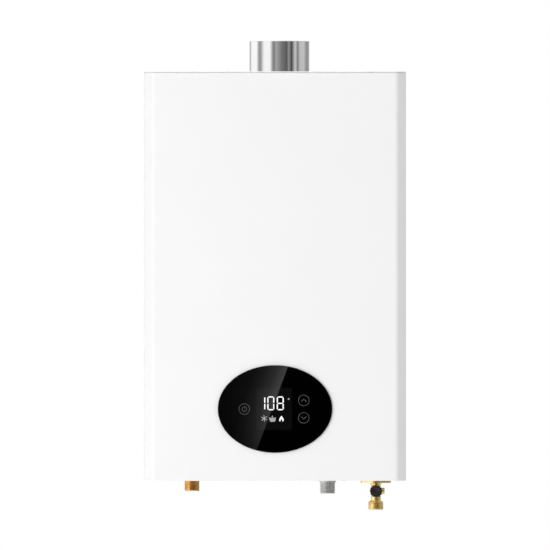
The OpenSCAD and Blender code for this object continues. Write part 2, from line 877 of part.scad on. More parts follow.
module fan_front_plate() {
    color("gainsboro") at_fan_axis(scroll_front) difference() {
        linear_extrude(front_plate_t) scroll(0, fan_rise);
        translate([0, 0, -eps]) cylinder(h = front_plate_t + 2 * eps, r = hub_d / 2 + 1);
        at_motor_screws() translate([0, 0, -eps])
            cylinder(h = front_plate_t + 2 * eps, r = pan_d / 2 + seat_fit);
    }
}

// One forward-curved blade between two radii, as an outline across the axis
module blade_outline(r0, r1) {
    steps = 5;
    sweep = 16;
    thick = 1;
    function at(s, side) =
        let (r = r0 + s * (r1 - r0), a = -sweep * s * s + side * thick / r * 180 / PI / 2)
        [r * cos(a), r * sin(a)];
    polygon(concat(
        [for (i = [0 : steps]) at(i / steps, -1)],
        [for (i = [steps : -1 : 0]) at(i / steps, 1)]
    ));
}

module fan_impeller() {
    rim_r = impeller_d / 2;
    blade_r = rim_r - 11;
    color("silver") at_fan_axis(impeller_back) difference() {
        union() {
            for (i = [0 : blades - 1]) rotate(360 * i / blades)
                linear_extrude(blade_l) blade_outline(blade_r, rim_r - 0.5);
            translate([0, 0, blade_l - disc_t]) cylinder(h = disc_t, r = rim_r);
            difference() {
                cylinder(h = ring_t, r = rim_r);
                translate([0, 0, -eps]) cylinder(h = ring_t + 2 * eps, r = rim_r - 4);
            }
            translate([0, 0, blade_l - hub_l]) cylinder(h = hub_l, r = hub_d / 2);
        }
        translate([0, 0, -eps]) cylinder(h = blade_l + 2 * eps, r = shaft_d / 2 + run_fit);
    }
}

module fan_shaft() {
    rear = impeller_front + hub_l + 2;
    front = motor_back - motor_l + 6;
    color("gray") bar_y(fan_x, rear, fan_z, shaft_d / 2, rear - front);
}

module fan_motor() {
    color("dimgray") at_fan_axis(motor_back) difference() {
        union() {
            cylinder(h = motor_flange_t, r = motor_flange_d / 2);
            cylinder(h = motor_l - 6, r = motor_d / 2);
            translate([0, 0, motor_l - 6 - eps])
                cylinder(h = 6 + eps, r1 = motor_d / 2, r2 = motor_d / 2 - 6);
            translate([-9, -motor_d / 2 - 5, motor_l * 0.35]) cube([18, 10, 10]);
        }
        translate([0, 0, -eps]) cylinder(h = motor_l - 4, r = shaft_d / 2 + run_fit);
        translate([0, 0, -eps]) cylinder(h = 4, r = hub_d / 2);
        at_motor_screws() translate([0, 0, -eps])
            cylinder(h = motor_flange_t + 2 * eps, r = pan_d / 2 + seat_fit);
        for (i = [0 : 11]) rotate(30 * i) translate([motor_d / 2 + 0.6, 0, motor_flange_t + 6])
            cylinder(h = motor_l - 18, r = 1.6);
    }
}

module motor_screws() {
    color("silver") at_fan_axis(motor_back) at_motor_screws()
        translate([0, 0, motor_flange_t]) pan_screw(motor_flange_t + front_plate_t + 1.5);
}

// Hood that gathers the flue gas over the fins and leads it up to the fan's eye
module hood_side(inset) {
    polygon([
        [chamber_back - inset, chamber_top - 1], [chamber_front + inset, chamber_top - 1],
        [chamber_front + inset, chamber_top + hood_base - inset],
        [scroll_back + inset, chamber_top + hood_base + hood_slope - inset],
        [scroll_back + inset, hood_top - inset], [chamber_back - inset, hood_top - inset]
    ]);
}

module hood_front(inset) {
    half = chamber_w / 2 - inset;
    duct = hood_duct_w / 2 - inset;
    shoulder = chamber_top + hood_base + 26;
    polygon([
        [-half, chamber_top - 1], [half, chamber_top - 1], [half, chamber_top + hood_base - inset],
        [fan_x + duct, shoulder], [fan_x + duct, hood_top - inset],
        [fan_x - duct, hood_top - inset], [fan_x - duct, shoulder], [-half, chamber_top + hood_base - inset]
    ]);
}

module hood_block(inset) {
    intersection() {
        toward_right(-case_w / 2, case_w) hood_side(inset);
        toward_front(0, case_d) hood_front(inset);
    }
}

module exhaust_hood() {
    color("lightgray") difference() {
        hood_block(0);
        hood_block(duct_t);
        translate([-case_w / 2, -case_d, chamber_top - 2]) cube([case_w, case_d, 2]);
        at_fan_axis(scroll_back + duct_t + eps) cylinder(h = duct_t + 2 * eps, r = eye_d / 2);
    }
}

module air_pressure_switch() {
    color("whitesmoke") translate([switch_x, back_in, switch_z]) rotate([90, 0, 0]) {
        rotate_extrude() polygon([
            [0, 0], [switch_r - switch_step, 0], [switch_r - switch_step, switch_rim[0]],
            [switch_r, switch_rim[1]], [switch_r, switch_rim[2]], [switch_r - switch_cap[0], switch_rim[3]],
            [switch_r - switch_cap[1], switch_t], [0, switch_t]
        ]);
        cylinder(h = switch_t + hose_end_l, r = hose_r);
        for (s = [-1, 1])
            translate([s * switch_tag_x - switch_tag[0] / 2, -switch_r - switch_step, switch_rim[1]])
                cube(switch_tag);
    }
}

module pressure_hose() {
    color("dimgray") bent_pipe(hose_route, hose_r + 1, 9);
}

// Heat exchanger

module chamber_outline(grow) {
    translate([0, mid_y]) rounded_rect(chamber_w + 2 * grow, chamber_d + 2 * grow, chamber_r + grow);
}

function tube_y(i) = tube_first_y - i * tube_pitch;

module combustion_chamber() {
    color("peru") difference() {
        union() {
            translate([0, 0, burner_top]) linear_extrude(chamber_h) chamber_outline(0);
            translate([0, 0, burner_top]) linear_extrude(duct_t) chamber_outline(chamber_rim);
        }
        translate([0, 0, burner_top - eps]) linear_extrude(chamber_h + 2 * eps) chamber_outline(-duct_t);
        for (i = [0 : tube_rows - 1])
            bar_x(-chamber_w / 2 - eps, tube_y(i), fin_z, tube_r + seat_fit, chamber_w + 2 * eps);
    }
}

module fin_stack() {
    depth = chamber_d - 2 * duct_t - 1;
    pitch = fin_span / (fins - 1);
    color("chocolate") for (i = [0 : fins - 1]) difference() {
        toward_right(-fin_span / 2 + i * pitch - fin_t / 2, fin_t)
            translate([mid_y, fin_z]) square([depth, fin_h], center = true);
        for (k = [0 : tube_rows - 1])
            bar_x(-fin_span / 2 + i * pitch - fin_t, tube_y(k), fin_z, tube_r + run_fit, 2 * fin_t);
    }
}

module exchanger_tubes() {
    route = [
        for (i = [0 : tube_rows - 1], e = [0, 1])
            [(i + e) % 2 == 0 ? tube_end : -tube_end, tube_y(i), fin_z]
    ];
    color("sienna") bent_pipe(route, tube_r, tube_pitch / 2);
}

module wrap_coil() {
    color("sienna") bent_pipe(coil_route, tube_r, bend_r);
}

module hot_pipe() {
    color("sienna") bent_pipe(hot_route, tube_r, bend_r);
}

module outlet_nipple() {
    thread_r = thread_d / 2;
    chamfer = 1;
    color("goldenrod") translate([hot_x, mid_y, 0]) rotate_extrude() polygon([
        [pipe_bore / 2, -hot_drop], [thread_r - chamfer, -hot_drop], [thread_r, -hot_drop + chamfer],
        [thread_r, relief_z], [thread_r - relief, relief_z], [thread_r - relief, floor_top],
        [thread_r + 6, floor_top], [thread_r + 6, floor_top + 4],
        [thread_r - 1, floor_top + 4], [thread_r - 1, hot_top_z], [0, hot_top_z], [0, hot_top_z - 4],
        [pipe_bore / 2, hot_top_z - 4]
    ]);
}

// Burner

function burner_x(i) = (i - (burners - 1) / 2) * burner_pitch;

module burner_box() {
    air_r = 3;
    color("silver") difference() {
        union() {
            difference() {
                translate([0, 0, burner_z]) linear_extrude(burner_h) chamber_outline(0);
                translate([0, 0, burner_z + duct_t]) linear_extrude(burner_h) chamber_outline(-duct_t);
            }
            for (y = [mid_y - 26, mid_y + 26])
                translate([-chamber_w / 2 + duct_t / 2, y - 1, burner_z + duct_t / 2])
                    cube([chamber_w - duct_t, 2, rail_h + duct_t / 2]);
        }
        for (i = [0 : burners - 1]) {
            bar_y(burner_x(i), chamber_front + 2 * duct_t, port_z, port_r, 3 * duct_t);
            for (y = [-38, -15, 0, 15, 38]) translate([burner_x(i), mid_y + y, burner_z - eps])
                cylinder(h = duct_t + 2 * eps, r = air_r);
        }
        for (x = concat(igniter_x, [flame_rod_x]))
            bar_y(x, chamber_front + 2 * duct_t, electrode_z, electrode_r + seat_fit, 3 * duct_t);
    }
}

// Side view of a burner blade: mixing tube along the bottom, flame head along the top
module burner_side() {
    rear = mid_y + chamber_d / 2 - 8;
    front = mid_y - chamber_d / 2 + 4;
    low = burner_blade_z;
    high = burner_blade_z + burner_blade_h;
    polygon([
        [front, low], [rear - 14, low], [rear, low + 12], [rear, high], [front + 8, high],
        [front + 8, high - 14], [front, low + 18]
    ]);
}

module burner_blades() {
    slot = 1.2;
    slot_depth = 5;
    head_l = chamber_d - 26;
    color("gray") for (i = [0 : burners - 1]) difference() {
        union() {
            toward_right(burner_x(i) - burner_t / 2, burner_t) burner_side();
            bar_y(burner_x(i), mid_y - chamber_d / 2 + 5, port_z, port_r - 0.6, 4);
        }
        bar_y(burner_x(i), mid_y - chamber_d / 2 + 12, port_z, port_r - 2.2, 14);
        for (k = [0 : flame_slots - 1])
            translate([
                burner_x(i) - burner_t / 2 + 1.2,
                mid_y + 2 - head_l / 2 + k * head_l / (flame_slots - 1) - slot / 2,
                burner_blade_z + burner_blade_h - slot_depth
            ]) cube([burner_t - 2.4, slot, slot_depth + eps]);
    }
}

module gas_manifold() {
    color("lightgray") toward_right(-manifold_w / 2, manifold_w)
        translate([manifold_y - manifold_d / 2, port_z]) rounded_rect(manifold_d, manifold_h, 3);
}

module injectors() {
    color("goldenrod") for (i = [0 : burners - 1]) translate([burner_x(i), manifold_y, port_z])
        rotate([-90, 0, 0]) difference() {
            union() {
                cylinder(h = injector_l / 2, r = injector_hex_r, $fn = 6);
                cylinder(h = injector_l, r1 = injector_root_r, r2 = injector_tip_r);
            }
            translate([0, 0, jet_floor]) cylinder(h = injector_l, r = jet_r);
        }
}

// An electrode: glazed ceramic body through the box's front wall, wire tip over the burners
module electrode(x, tip) {
    color("ivory") {
        bar_y(x, chamber_front + 12, electrode_z, electrode_r, 12 + chamber_front - electrode_y);
        bar_y(x, chamber_front + 12 + tip, electrode_z, 1, tip + eps);
        bar_y(x, electrode_y, electrode_z, 1.6, 4);
        bar_y(x, chamber_front - eps, electrode_z, electrode_r + 2, 2);
    }
}

module ignition_electrodes() {
    for (x = igniter_x) electrode(x, 14);
}

module flame_rod() {
    electrode(flame_rod_x, 26);
}

module gas_pipe() {
    color("silver") bent_pipe(gas_route, gas_pipe_r, 10);
}

// Gas valve

module gas_valve_body() {
    color("lightgray") difference() {
        union() {
            translate([gas_x, mid_y, valve_z]) linear_extrude(valve_h) rounded_rect(valve_w, valve_d, 5);
            bar_y(gas_x, mid_y - valve_d / 2 + eps, valve_z + 22, 14, 5);
        }
        bar_y(gas_x, mid_y - valve_d / 2 - 3, valve_z + 22, 9, 3);
        for (s = [-1, 1]) translate([gas_x + s * plunger_dx, plunger_y, plunger_seat_z])
            cylinder(h = valve_top - plunger_seat_z + eps, r = plunger_room_r);
    }
}

module gas_inlet_nipple() {
    thread_r = thread_d / 2;
    chamfer = 1;
    color("darkgray") translate([gas_x, mid_y, 0]) rotate_extrude() polygon([
        [pipe_bore / 2, -gas_drop], [thread_r - chamfer, -gas_drop], [thread_r, -gas_drop + chamfer],
        [thread_r, collar_z], [gas_collar_r, collar_z], [gas_collar_r, floor_top],
        [thread_r + 7, floor_top], [thread_r + 7, floor_top + 5],
        [thread_r + 1, floor_top + 5], [thread_r + 1, valve_z], [0, valve_z], [0, valve_z - 3],
        [pipe_bore / 2, valve_z - 3]
    ]);
}

// A solenoid coil on a flanged bobbin, with a fixed core in its upper end
module solenoid_coil(side) {
    bore = plunger_d / 2 + run_fit;
    flange = 2.5;
    color("saddlebrown") translate([gas_x + side * plunger_dx, plunger_y, valve_top])
        rotate_extrude() polygon([
        [bore, 0], [coil_d / 2, 0], [coil_d / 2, flange], [coil_d / 2 - 2, flange],
        [coil_d / 2 - 2, coil_l - flange], [coil_d / 2, coil_l - flange], [coil_d / 2, coil_l],
        [0, coil_l], [0, coil_l - core_l], [bore, coil_l - core_l]
    ]);
}

// The plunger that a coil lifts, with its sealing disc on the seat at rest
module solenoid_plunger(side) {
    low = plunger_seat_z + 0.3;
    color("gray") translate([gas_x + side * plunger_dx, plunger_y, 0]) {
        translate([0, 0, low]) cylinder(h = plunger_disc_t, r = plunger_disc_r);
        translate([0, 0, low + eps]) cylinder(h = valve_top + plunger_l - low, r = plunger_d / 2);
    }
}

module shutoff_coil() { solenoid_coil(-1); }
module shutoff_plunger() { solenoid_plunger(-1); }
module modulating_coil() { solenoid_coil(1); }
module modulating_plunger() { solenoid_plunger(1); }

// Inlet valve with its drain

oval_screw_x = oval_w / 2 - 5;

module at_oval_screws() {
    for (s = [-1, 1])
        translate([cold_x + s * oval_screw_x, mid_y, oval_bottom]) rotate([180, 0, 0]) children();
}

// Oval flange: two ends of the fixing screws' radius blended to a round middle
module oval_flange() {
    end_r = 5;
    linear_extrude(oval_t) {
        circle(oval_d / 2);
        for (s = [-1, 1]) translate([s * oval_screw_x, 0]) circle(end_r);
        square([2 * oval_screw_x, 2 * end_r], center = true);
    }
}

module inlet_valve_body() {
    thread_r = thread_d / 2;
    chamfer = 1;
    shoulder = 2;
    color("gold") difference() {
        union() {
            translate([cold_x, mid_y, oval_bottom]) oval_flange();
            translate([cold_x, mid_y, 0]) rotate_extrude() polygon([
                [0, -cold_drop], [thread_r - chamfer, -cold_drop], [thread_r, -cold_drop + chamfer],
                [thread_r, tail_top - shoulder], [neck_d / 2 + 1.5, tail_top], [neck_d / 2, tail_top],
                [neck_d / 2, floor_z - eps], [spigot_r, floor_z - eps], [spigot_r, spigot_top],
                [0, spigot_top]
            ]);
            bar_y(cold_x, barrel_back, knob_z, barrel_d / 2, barrel_back - barrel_front);
            bar_x(cold_x, spout_y, knob_z, spout_d / 2, spout_reach);
        }
        translate([cold_x, mid_y, -cold_drop - eps]) cylinder(h = cold_thread_l - 3, r = pipe_bore / 2);
        translate([cold_x, mid_y, -cold_drop]) cylinder(h = spigot_top + cold_drop + eps, r = through_r);
        bar_y(cold_x, mid_y, knob_z, spout_bore / 2, mid_y - jumper_back + eps);
        bar_y(cold_x, jumper_back + 0.3, knob_z, drain_bore_r, jumper_back - barrel_front + 1);
        bar_x(cold_x, spout_y, knob_z, spout_bore / 2, spout_reach + eps);
        at_oval_screws() countersunk_hole();
    }
}

module inlet_flange_screws() {
    color("silver") at_oval_screws() translate([0, 0, -seat_fit]) countersunk_screw();
}

// Hexagonal gland that closes the barrel and guides the spindle
module drain_gland() {
    color("goldenrod") translate([cold_x, barrel_front, knob_z]) rotate([90, 0, 0]) difference() {
        union() {
            cylinder(h = gland_l, r = gland_af / sqrt(3), $fn = 6);
            translate([0, 0, -gland_in]) cylinder(h = gland_in + eps, r = drain_bore_r - seat_fit);
        }
        translate([0, 0, -gland_in - eps])
            cylinder(h = gland_l + gland_in + 2 * eps, r = spindle_d / 2 + run_fit);
    }
}

spindle_back = jumper_back - jumper_t - 0.2;
spindle_front = knob_back - knob_l * 0.7;

module drain_spindle() {
    color("gold") bar_y(cold_x, spindle_back, knob_z, spindle_d / 2, spindle_back - spindle_front);
}

// Jumper disc that the spindle presses on the drain seat
module drain_jumper() {
    color("dimgray") bar_y(cold_x, jumper_back, knob_z, jumper_r, jumper_t);
}

// Fluted knob with a stepped face and a recess in the middle
module drain_knob() {
    r = knob_d / 2;
    color("#221c1e") translate([cold_x, knob_back, knob_z]) rotate([90, 0, 0]) difference() {
        rotate_extrude() polygon([
            [spindle_d / 2, 0], [r - 1, 0], [r, 1], [r, knob_l - 1.6], [r - 1.6, knob_l],
            [r * 0.55, knob_l], [r * 0.45, knob_l - 1.5], [0, knob_l - 1.5], [0, knob_l * 0.7],
            [spindle_d / 2, knob_l * 0.7]
        ]);
        for (i = [0 : knob_flutes - 1]) rotate(360 * (i + 0.5) / knob_flutes)
            translate([r + 0.9, 0, -eps]) cylinder(h = knob_l + 2 * eps, r = 1.7);
    }
}

// Flow sensor

module flow_sensor_body() {
    bore = sensor_bore / 2;
    collar = oval_screw_x + cs_d / 2 + 2;
    color("#2a2a2c") difference() {
        translate([cold_x, mid_y, 0]) rotate_extrude() polygon([
            [bore, floor_top], [collar, floor_top], [collar, floor_top + 5],
            [sensor_d / 2, floor_top + 7], [sensor_d / 2, sensor_top - 8], [sensor_d / 2 - 4, sensor_top],
            [0, sensor_top], [0, sensor_top - 2], [tube_r - 1, sensor_top - 2],
            [tube_r - 1, sensor_top - sensor_cap], [bore, sensor_top - sensor_cap]
        ]);
        at_oval_screws() countersunk_hole();
    }
}

// Spider that guides an end of the turbine's pin, with three flow windows
module turbine_cage(z, pin_from) {
    ring_r = sensor_bore / 2 - run_fit;
    translate([cold_x, mid_y, z]) difference() {
        cylinder(h = cage_t, r = ring_r);
        difference() {
            translate([0, 0, -eps]) cylinder(h = cage_t + 2 * eps, r = ring_r - 1.8);
            translate([0, 0, -1]) cylinder(h = cage_t + 2, r = cage_hub_r);
            for (a = [0, 120, 240]) rotate(a) translate([0, -0.8, -1]) cube([ring_r, 1.6, cage_t + 2]);
        }
        translate([0, 0, pin_from]) cylinder(h = cage_t, r = turbine_pin_r + run_fit);
    }
}

module turbine_cages() {
    color("white") {
        turbine_cage(cage_low, 1.5);
        turbine_cage(cage_high, -1.5);
    }
}

// Axial turbine with slanted blades on a pin
module flow_turbine() {
    tip_r = sensor_bore / 2 - 0.7;
    slant = 38;
    blade_t = 1.2;
    color("steelblue") translate([cold_x, mid_y, turbine_z]) {
        cylinder(h = turbine_l, r = turbine_hub_r);
        translate([0, 0, -6]) cylinder(h = turbine_l + 12, r = turbine_pin_r);
        intersection() {
            for (i = [0 : turbine_blades - 1]) rotate(360 * i / turbine_blades)
                translate([0, 0, turbine_l / 2]) rotate([slant, 0, 0])
                    translate([turbine_hub_r - 1, -blade_t / 2, -turbine_l / 2])
                        cube([tip_r, blade_t, turbine_l]);
            translate([0, 0, 1]) difference() {
                cylinder(h = turbine_l - 2, r = tip_r);
                translate([0, 0, -eps]) cylinder(h = turbine_l, r = turbine_hub_r - 0.5);
            }
        }
    }
}

module hall_sensor() {
    color("#303438") translate([cold_x, mid_y - sensor_d / 2, turbine_z]) difference() {
        translate([-9, -9, 0]) cube([18, 13, turbine_l]);
        translate([0, sensor_d / 2, -eps]) cylinder(h = turbine_l + 2 * eps, r = sensor_d / 2 + seat_fit);
    }
}

// Temperature probes clipped on the hot pipe
clip_z = [hot_run_z + probe_up, hot_run_z + probe_up + probe_pitch];

// A spring clip round the hot pipe with a probe block on its left
module pipe_clip(z, probe_d, probe_l) {
    clip_t = 1.2;
    clip_h = 10;
    reach = tube_r + seat_fit;
    translate([hot_pipe_x, tube_last_y, z]) {
        difference() {
            cylinder(h = clip_h, r = reach + clip_t);
            translate([0, 0, -eps]) cylinder(h = clip_h + 2 * eps, r = reach);
            translate([0, -reach * 0.6, -eps]) cube([2 * reach, 1.2 * reach, clip_h + 2 * eps]);
        }
        bar_x(-reach - clip_t / 2 - probe_l, 0, clip_h / 2, probe_d / 2, probe_l);
    }
}

module thermistors() {
    color("silver") pipe_clip(clip_z[0], 6, 7);
}

module overheat_cutout() {
    color("black") pipe_clip(clip_z[1], 9, 5);
}

// Electronics

module control_tray() {
    post = 5;
    color("#26282b") difference() {
        union() {
            difference() {
                translate([tray_x, back_in - tray_d, tray_z]) cube([tray_w, tray_d, tray_h]);
                translate([tray_x + tray_t, back_in - tray_d - eps, tray_z + tray_t])
                    cube([tray_w - 2 * tray_t, tray_d - tray_t + eps, tray_h - 2 * tray_t]);
            }
            at_board_corners() bar_y(0, back_in - tray_t + eps, 0, post, 5 + eps);
        }
        for (i = [0 : 5]) translate([tray_x - eps, back_in - tray_d + 5, tray_z + 14 + i * 13])
            cube([tray_t + 2 * eps, 11, 5]);
    }
}

module at_board_corners() {
    for (x = [board_x + 6, board_x + board_w - 6], z = [board_z + 6, board_z + board_h - 6])
        translate([x, 0, z]) children();
}

module control_board() {
    color("darkgreen") translate([board_x, board_y - board_t, board_z]) cube([board_w, board_t, board_h]);
}

// Relays, capacitors, connectors and a finned heat sink on the board
module board_components() {
    face = board_y - board_t;
    first_x = board_x + part_margin;
    for (i = [0 : 2]) color("royalblue")
        translate([first_x + i * relay_pitch, face - relay[1], board_z + relay_up]) cube(relay);
    for (i = [0 : 3]) color("black")
        bar_y(first_x + capacitor_r + i * capacitor_pitch, face, board_z + capacitor_up,
              capacitor_r, capacitor_l);
    for (i = [0 : 4]) color("white")
        translate([first_x + i * plug_pitch, face - plug[1], board_z + board_h - part_margin]) cube(plug);
    color("silver") translate([first_x, face - sink[1], board_z + sink_up]) difference() {
        cube(sink);
        for (k = [0 : sink_slots - 1]) translate([sink_wall + k * sink_pitch, -eps, -eps])
            cube([sink_pitch - sink_wall - 0.5, sink[1] - 3, sink[2] + 2 * eps]);
    }
}

// Mains transformer: a laminated frame round a wound bobbin
module transformer() {
    w = 30;
    h = 26;
    d = 14;
    x = board_x + board_w - w - 4;
    z = board_z + 34;
    y = board_y - board_t;
    color("gray") difference() {
        translate([x, y - d, z]) cube([w, d, h]);
        for (k = [0, 1]) translate([x + 5 + k * 13, y - d - eps, z + 5]) cube([7, d + 2 * eps, h - 10]);
    }
    color("sienna") difference() {
        translate([x + 6, y - d + 1, z + 5 + eps]) cube([w - 12, d - 1.5, h - 10 - 2 * eps]);
        translate([x + 12, y - d, z + 4]) cube([6, d + 1, h]);
    }
}

module igniter_module() {
    color("#3a3c40") translate([igniter_mod_x, back_in - igniter_mod[1], igniter_mod_z]) {
        cube(igniter_mod);
        for (x = [14, 38]) translate([x, 12, igniter_mod[2] - eps]) cylinder(h = 9, r1 = 5, r2 = 3.5);
    }
}

// Control panel

module panel_glass() {
    color("black") translate([0, 0, panel_z]) toward_front(glass_y, glass_t) oval(panel_w, panel_h);
}

module panel_carrier() {
    inner_w = carrier_w - 2 * carrier_wall;
    inner_h = carrier_h - 2 * carrier_wall;
    color("#1c1d1f") translate([0, 0, panel_z]) {
        difference() {
            union() {
                toward_front(face_y, rim_t) oval(panel_w - 1, panel_h - 1);
                toward_front(carrier_back, carrier_d + eps) oval(carrier_w, carrier_h);
            }
            toward_front(carrier_back + eps, carrier_d) oval(inner_w, inner_h);
            toward_front(face_y + 2, rim_t + 2 + eps) square([display_w + 1, display_h + 1], center = true);
            for (k = touch_keys) bar_y(k[0], face_y + 2, k[1], touch_r + 0.4, rim_t + 2 + eps);
        }
        for (sx = [-1, 1], sz = [-1, 1])
            bar_y(sx * boss_x, display_board_y, sz * boss_z, boss_r, display_board_y - face_y + eps);
    }
}

module display_board() {
    color("darkgreen") translate([0, 0, panel_z]) difference() {
        toward_front(display_board_y + board_t, board_t)
            rounded_rect(display_board_w, display_board_h, 3);
        for (sx = [-1, 1], sz = [-1, 1])
            bar_y(sx * boss_x, display_board_y + board_t + eps, sz * boss_z, pan_d / 2 + seat_fit,
                  board_t + 2 * eps);
    }
}

module display_module() {
    color("#16181a") translate([0, 0, panel_z]) toward_front(display_board_y, display_board_y - glass_y)
        square([display_w, display_h], center = true);
}

// Conductive pads between the board and the touch keys drawn on the glass
module touch_pads() {
    color("dimgray") for (k = touch_keys)
        bar_y(k[0], display_board_y, panel_z + k[1], touch_r, display_board_y - glass_y);
}

module panel_screws() {
    color("silver") for (sx = [-1, 1], sz = [-1, 1])
        translate([sx * boss_x, display_board_y + board_t, panel_z + sz * boss_z]) rotate([-90, 0, 0])
            pan_screw(board_t);
}

in_frame() front_cover();
in_frame() back_shell();
in_frame() cover_screws();
in_frame() mounting_brackets();
in_frame() cable_grommet();
in_frame() flue_collar();
in_frame() flue_gasket();
in_frame() fan_housing();
in_frame() fan_front_plate();
in_frame() fan_impeller();
in_frame() fan_shaft();
in_frame() fan_motor();
in_frame() motor_screws();
in_frame() exhaust_hood();
in_frame() air_pressure_switch();
in_frame() pressure_hose();
in_frame() combustion_chamber();
in_frame() fin_stack();
in_frame() exchanger_tubes();
in_frame() wrap_coil();
in_frame() hot_pipe();
in_frame() outlet_nipple();
in_frame() burner_box();
in_frame() burner_blades();
in_frame() gas_manifold();
in_frame() injectors();
in_frame() ignition_electrodes();
in_frame() flame_rod();
in_frame() gas_pipe();
in_frame() gas_valve_body();
in_frame() gas_inlet_nipple();
in_frame() shutoff_coil();
in_frame() shutoff_plunger();
in_frame() modulating_coil();
in_frame() modulating_plunger();
in_frame() inlet_valve_body();
in_frame() inlet_flange_screws();
in_frame() drain_gland();
in_frame() drain_spindle();
in_frame() drain_jumper();
in_frame() drain_knob();
in_frame() flow_sensor_body();
in_frame() turbine_cages();
in_frame() flow_turbine();
in_frame() hall_sensor();
in_frame() thermistors();
in_frame() overheat_cutout();
in_frame() control_tray();
in_frame() control_board();
in_frame() board_components();
in_frame() transformer();
in_frame() igniter_module();
in_frame() panel_glass();
in_frame() panel_carrier();
in_frame() display_board();
in_frame() display_module();
in_frame() touch_pads();
in_frame() panel_screws();
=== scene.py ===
"""Wall-hung gas water heater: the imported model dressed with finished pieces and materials."""

import json
import math

import bmesh
import bpy
from mathutils import Matrix, Vector
from mathutils.geometry import convex_hull_2d


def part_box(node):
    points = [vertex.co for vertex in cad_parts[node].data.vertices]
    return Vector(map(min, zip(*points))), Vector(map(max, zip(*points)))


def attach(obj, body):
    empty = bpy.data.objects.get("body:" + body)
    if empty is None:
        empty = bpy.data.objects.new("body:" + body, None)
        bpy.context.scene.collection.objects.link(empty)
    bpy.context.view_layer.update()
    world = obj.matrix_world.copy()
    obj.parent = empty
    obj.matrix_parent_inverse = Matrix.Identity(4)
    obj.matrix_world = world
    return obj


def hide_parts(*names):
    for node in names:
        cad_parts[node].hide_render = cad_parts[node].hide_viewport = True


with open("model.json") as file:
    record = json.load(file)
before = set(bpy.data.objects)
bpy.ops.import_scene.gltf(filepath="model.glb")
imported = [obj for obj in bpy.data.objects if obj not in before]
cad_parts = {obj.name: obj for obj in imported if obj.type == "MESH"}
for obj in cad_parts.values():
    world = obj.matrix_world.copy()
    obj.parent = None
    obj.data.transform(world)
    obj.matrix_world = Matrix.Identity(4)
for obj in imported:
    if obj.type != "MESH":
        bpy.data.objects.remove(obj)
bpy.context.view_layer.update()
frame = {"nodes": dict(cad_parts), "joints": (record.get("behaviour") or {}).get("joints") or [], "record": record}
# The frame's plain materials leave their names to the finishes
for plain in list(bpy.data.materials):
    plain.name = "plain_" + plain.name
scene = bpy.context.scene
scene.view_settings.view_transform = "Standard"

# Sizes in mm, with z from the casing's lower edge
MM = 0.001
HANG_Z = -round(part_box("front_cover")[0].z / MM, 2)
MOUNTS = {mount["name"]: mount for mount in frame["record"]["mounts"]}
JOINTS = {joint["name"]: joint for joint in frame["joints"]}


def in_mm(x, y, z):
    """A point of the frame in this script's sizes."""
    return round(x / MM, 2), round(y / MM, 2), round(z / MM + HANG_Z, 2)


def node_box(node):
    """A node's lowest and highest corners."""
    return [in_mm(*corner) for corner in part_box(node)]


# Cover: bends, lips and the fine gap under its top edge
(_, COVER_FRONT, _), (COVER_SIDE, COVER_REAR, CASE_H) = node_box("front_cover")
SHEET = 1.0
SLANT_W, SLANT_BEND, SIDE_BEND = 12.0, 8.0, 5.0
EDGE_R = 1.2
FOLD_LOW, FOLD_HIGH, FOLD_D = CASE_H - 1.8, CASE_H - 1.35, 1.5
LIP_D = 30.0
LIP_END = COVER_FRONT + LIP_D
# How far a cutting shape runs past what it cuts
PAST = 5.0

# Screws
COVER_SCREWS_X = (-130.0, 130.0)
COVER_SCREW_Y = COVER_FRONT + LIP_D * 0.75
FLANGE_SCREWS_X = (-15.5, 15.5)
HEAD_R, SHANK_R, SCREW_L = 3.5, 1.75, 9.0

# Flue
FLUE_X, MID_Y, _ = in_mm(*MOUNTS["flue_bore"]["pos_m"])
(_, _, FLUE_LOW), (_, _, FLUE_TOP) = node_box("flue_collar")
FLUE_BORE_R = MOUNTS["flue_bore"]["dims"]["r_mm"]
FLUE_R, FLUE_FOOT_R = FLUE_BORE_R + 0.8, FLUE_BORE_R + 8.8

# Control panel: places on it count from its centre
(_, GLASS_FRONT, GLASS_LOW), (GLASS_SIDE, GLASS_BACK, GLASS_HIGH) = node_box("panel_glass")
GLASS_W, GLASS_H = 2 * GLASS_SIDE, GLASS_HIGH - GLASS_LOW
PANEL_Z = (GLASS_LOW + GLASS_HIGH) / 2
GLASS_LAP = 2.9
OPENING_W, OPENING_H = GLASS_W - 2 * GLASS_LAP, GLASS_H - 2 * GLASS_LAP
GLASS_FACE = GLASS_FRONT + 0.08
MARK_BACK, MARK_FRONT = GLASS_FACE + 0.01, GLASS_FACE - 0.03
WINDOW_FRONT = GLASS_FACE - 0.01
WINDOW_X, WINDOW_W, WINDOW_H, WINDOW_R = -1.3, 48.0, 56.0, 2.5
FIGURES = {"1": -17.6, "0": -5.6, "8": 7.0}
FIGURE_BARS = {"1": "bc", "0": "abcdef", "8": "abcdefg"}
FIGURE_Z, FIGURE_W, FIGURE_H = 7.6, 7.8, 17.0
BAR_W, BAR_GAP = 1.5, 0.4
FLAME_SPOT, BASIN_SPOT, STAR_SPOT, DEGREE_SPOT = (8.6, -12.8), (-3.4, -13.4), (-14.4, -12.6), (18.2, 13.4)
KEY_R, KEY_LINE = 7.1, 0.45
KEYS = {"power": (-41.0, 0.0), "warmer": (38.4, 11.5), "cooler": (38.4, -11.8)}

# Pipe connections
PITCH = 1.814
THREAD_R = MOUNTS["hot_outlet_thread"]["dims"]["r_mm"]
CORE_R, BORE_R, RIDGE = 9.45, 6.5, 1.05
CHAMFER_W, CHAMFER_H = 0.9, 1.0
# Necks as radius and height, down to the core of the thread
HOT_NECK, HOT_THREAD_TOP = [(9.875, 0.2), (CORE_R, -0.4)], -0.2
GAS_NECK, GAS_THREAD_TOP = [(10.875, -3.6), (10.5, -4.0), (CORE_R, -4.4)], -4.3

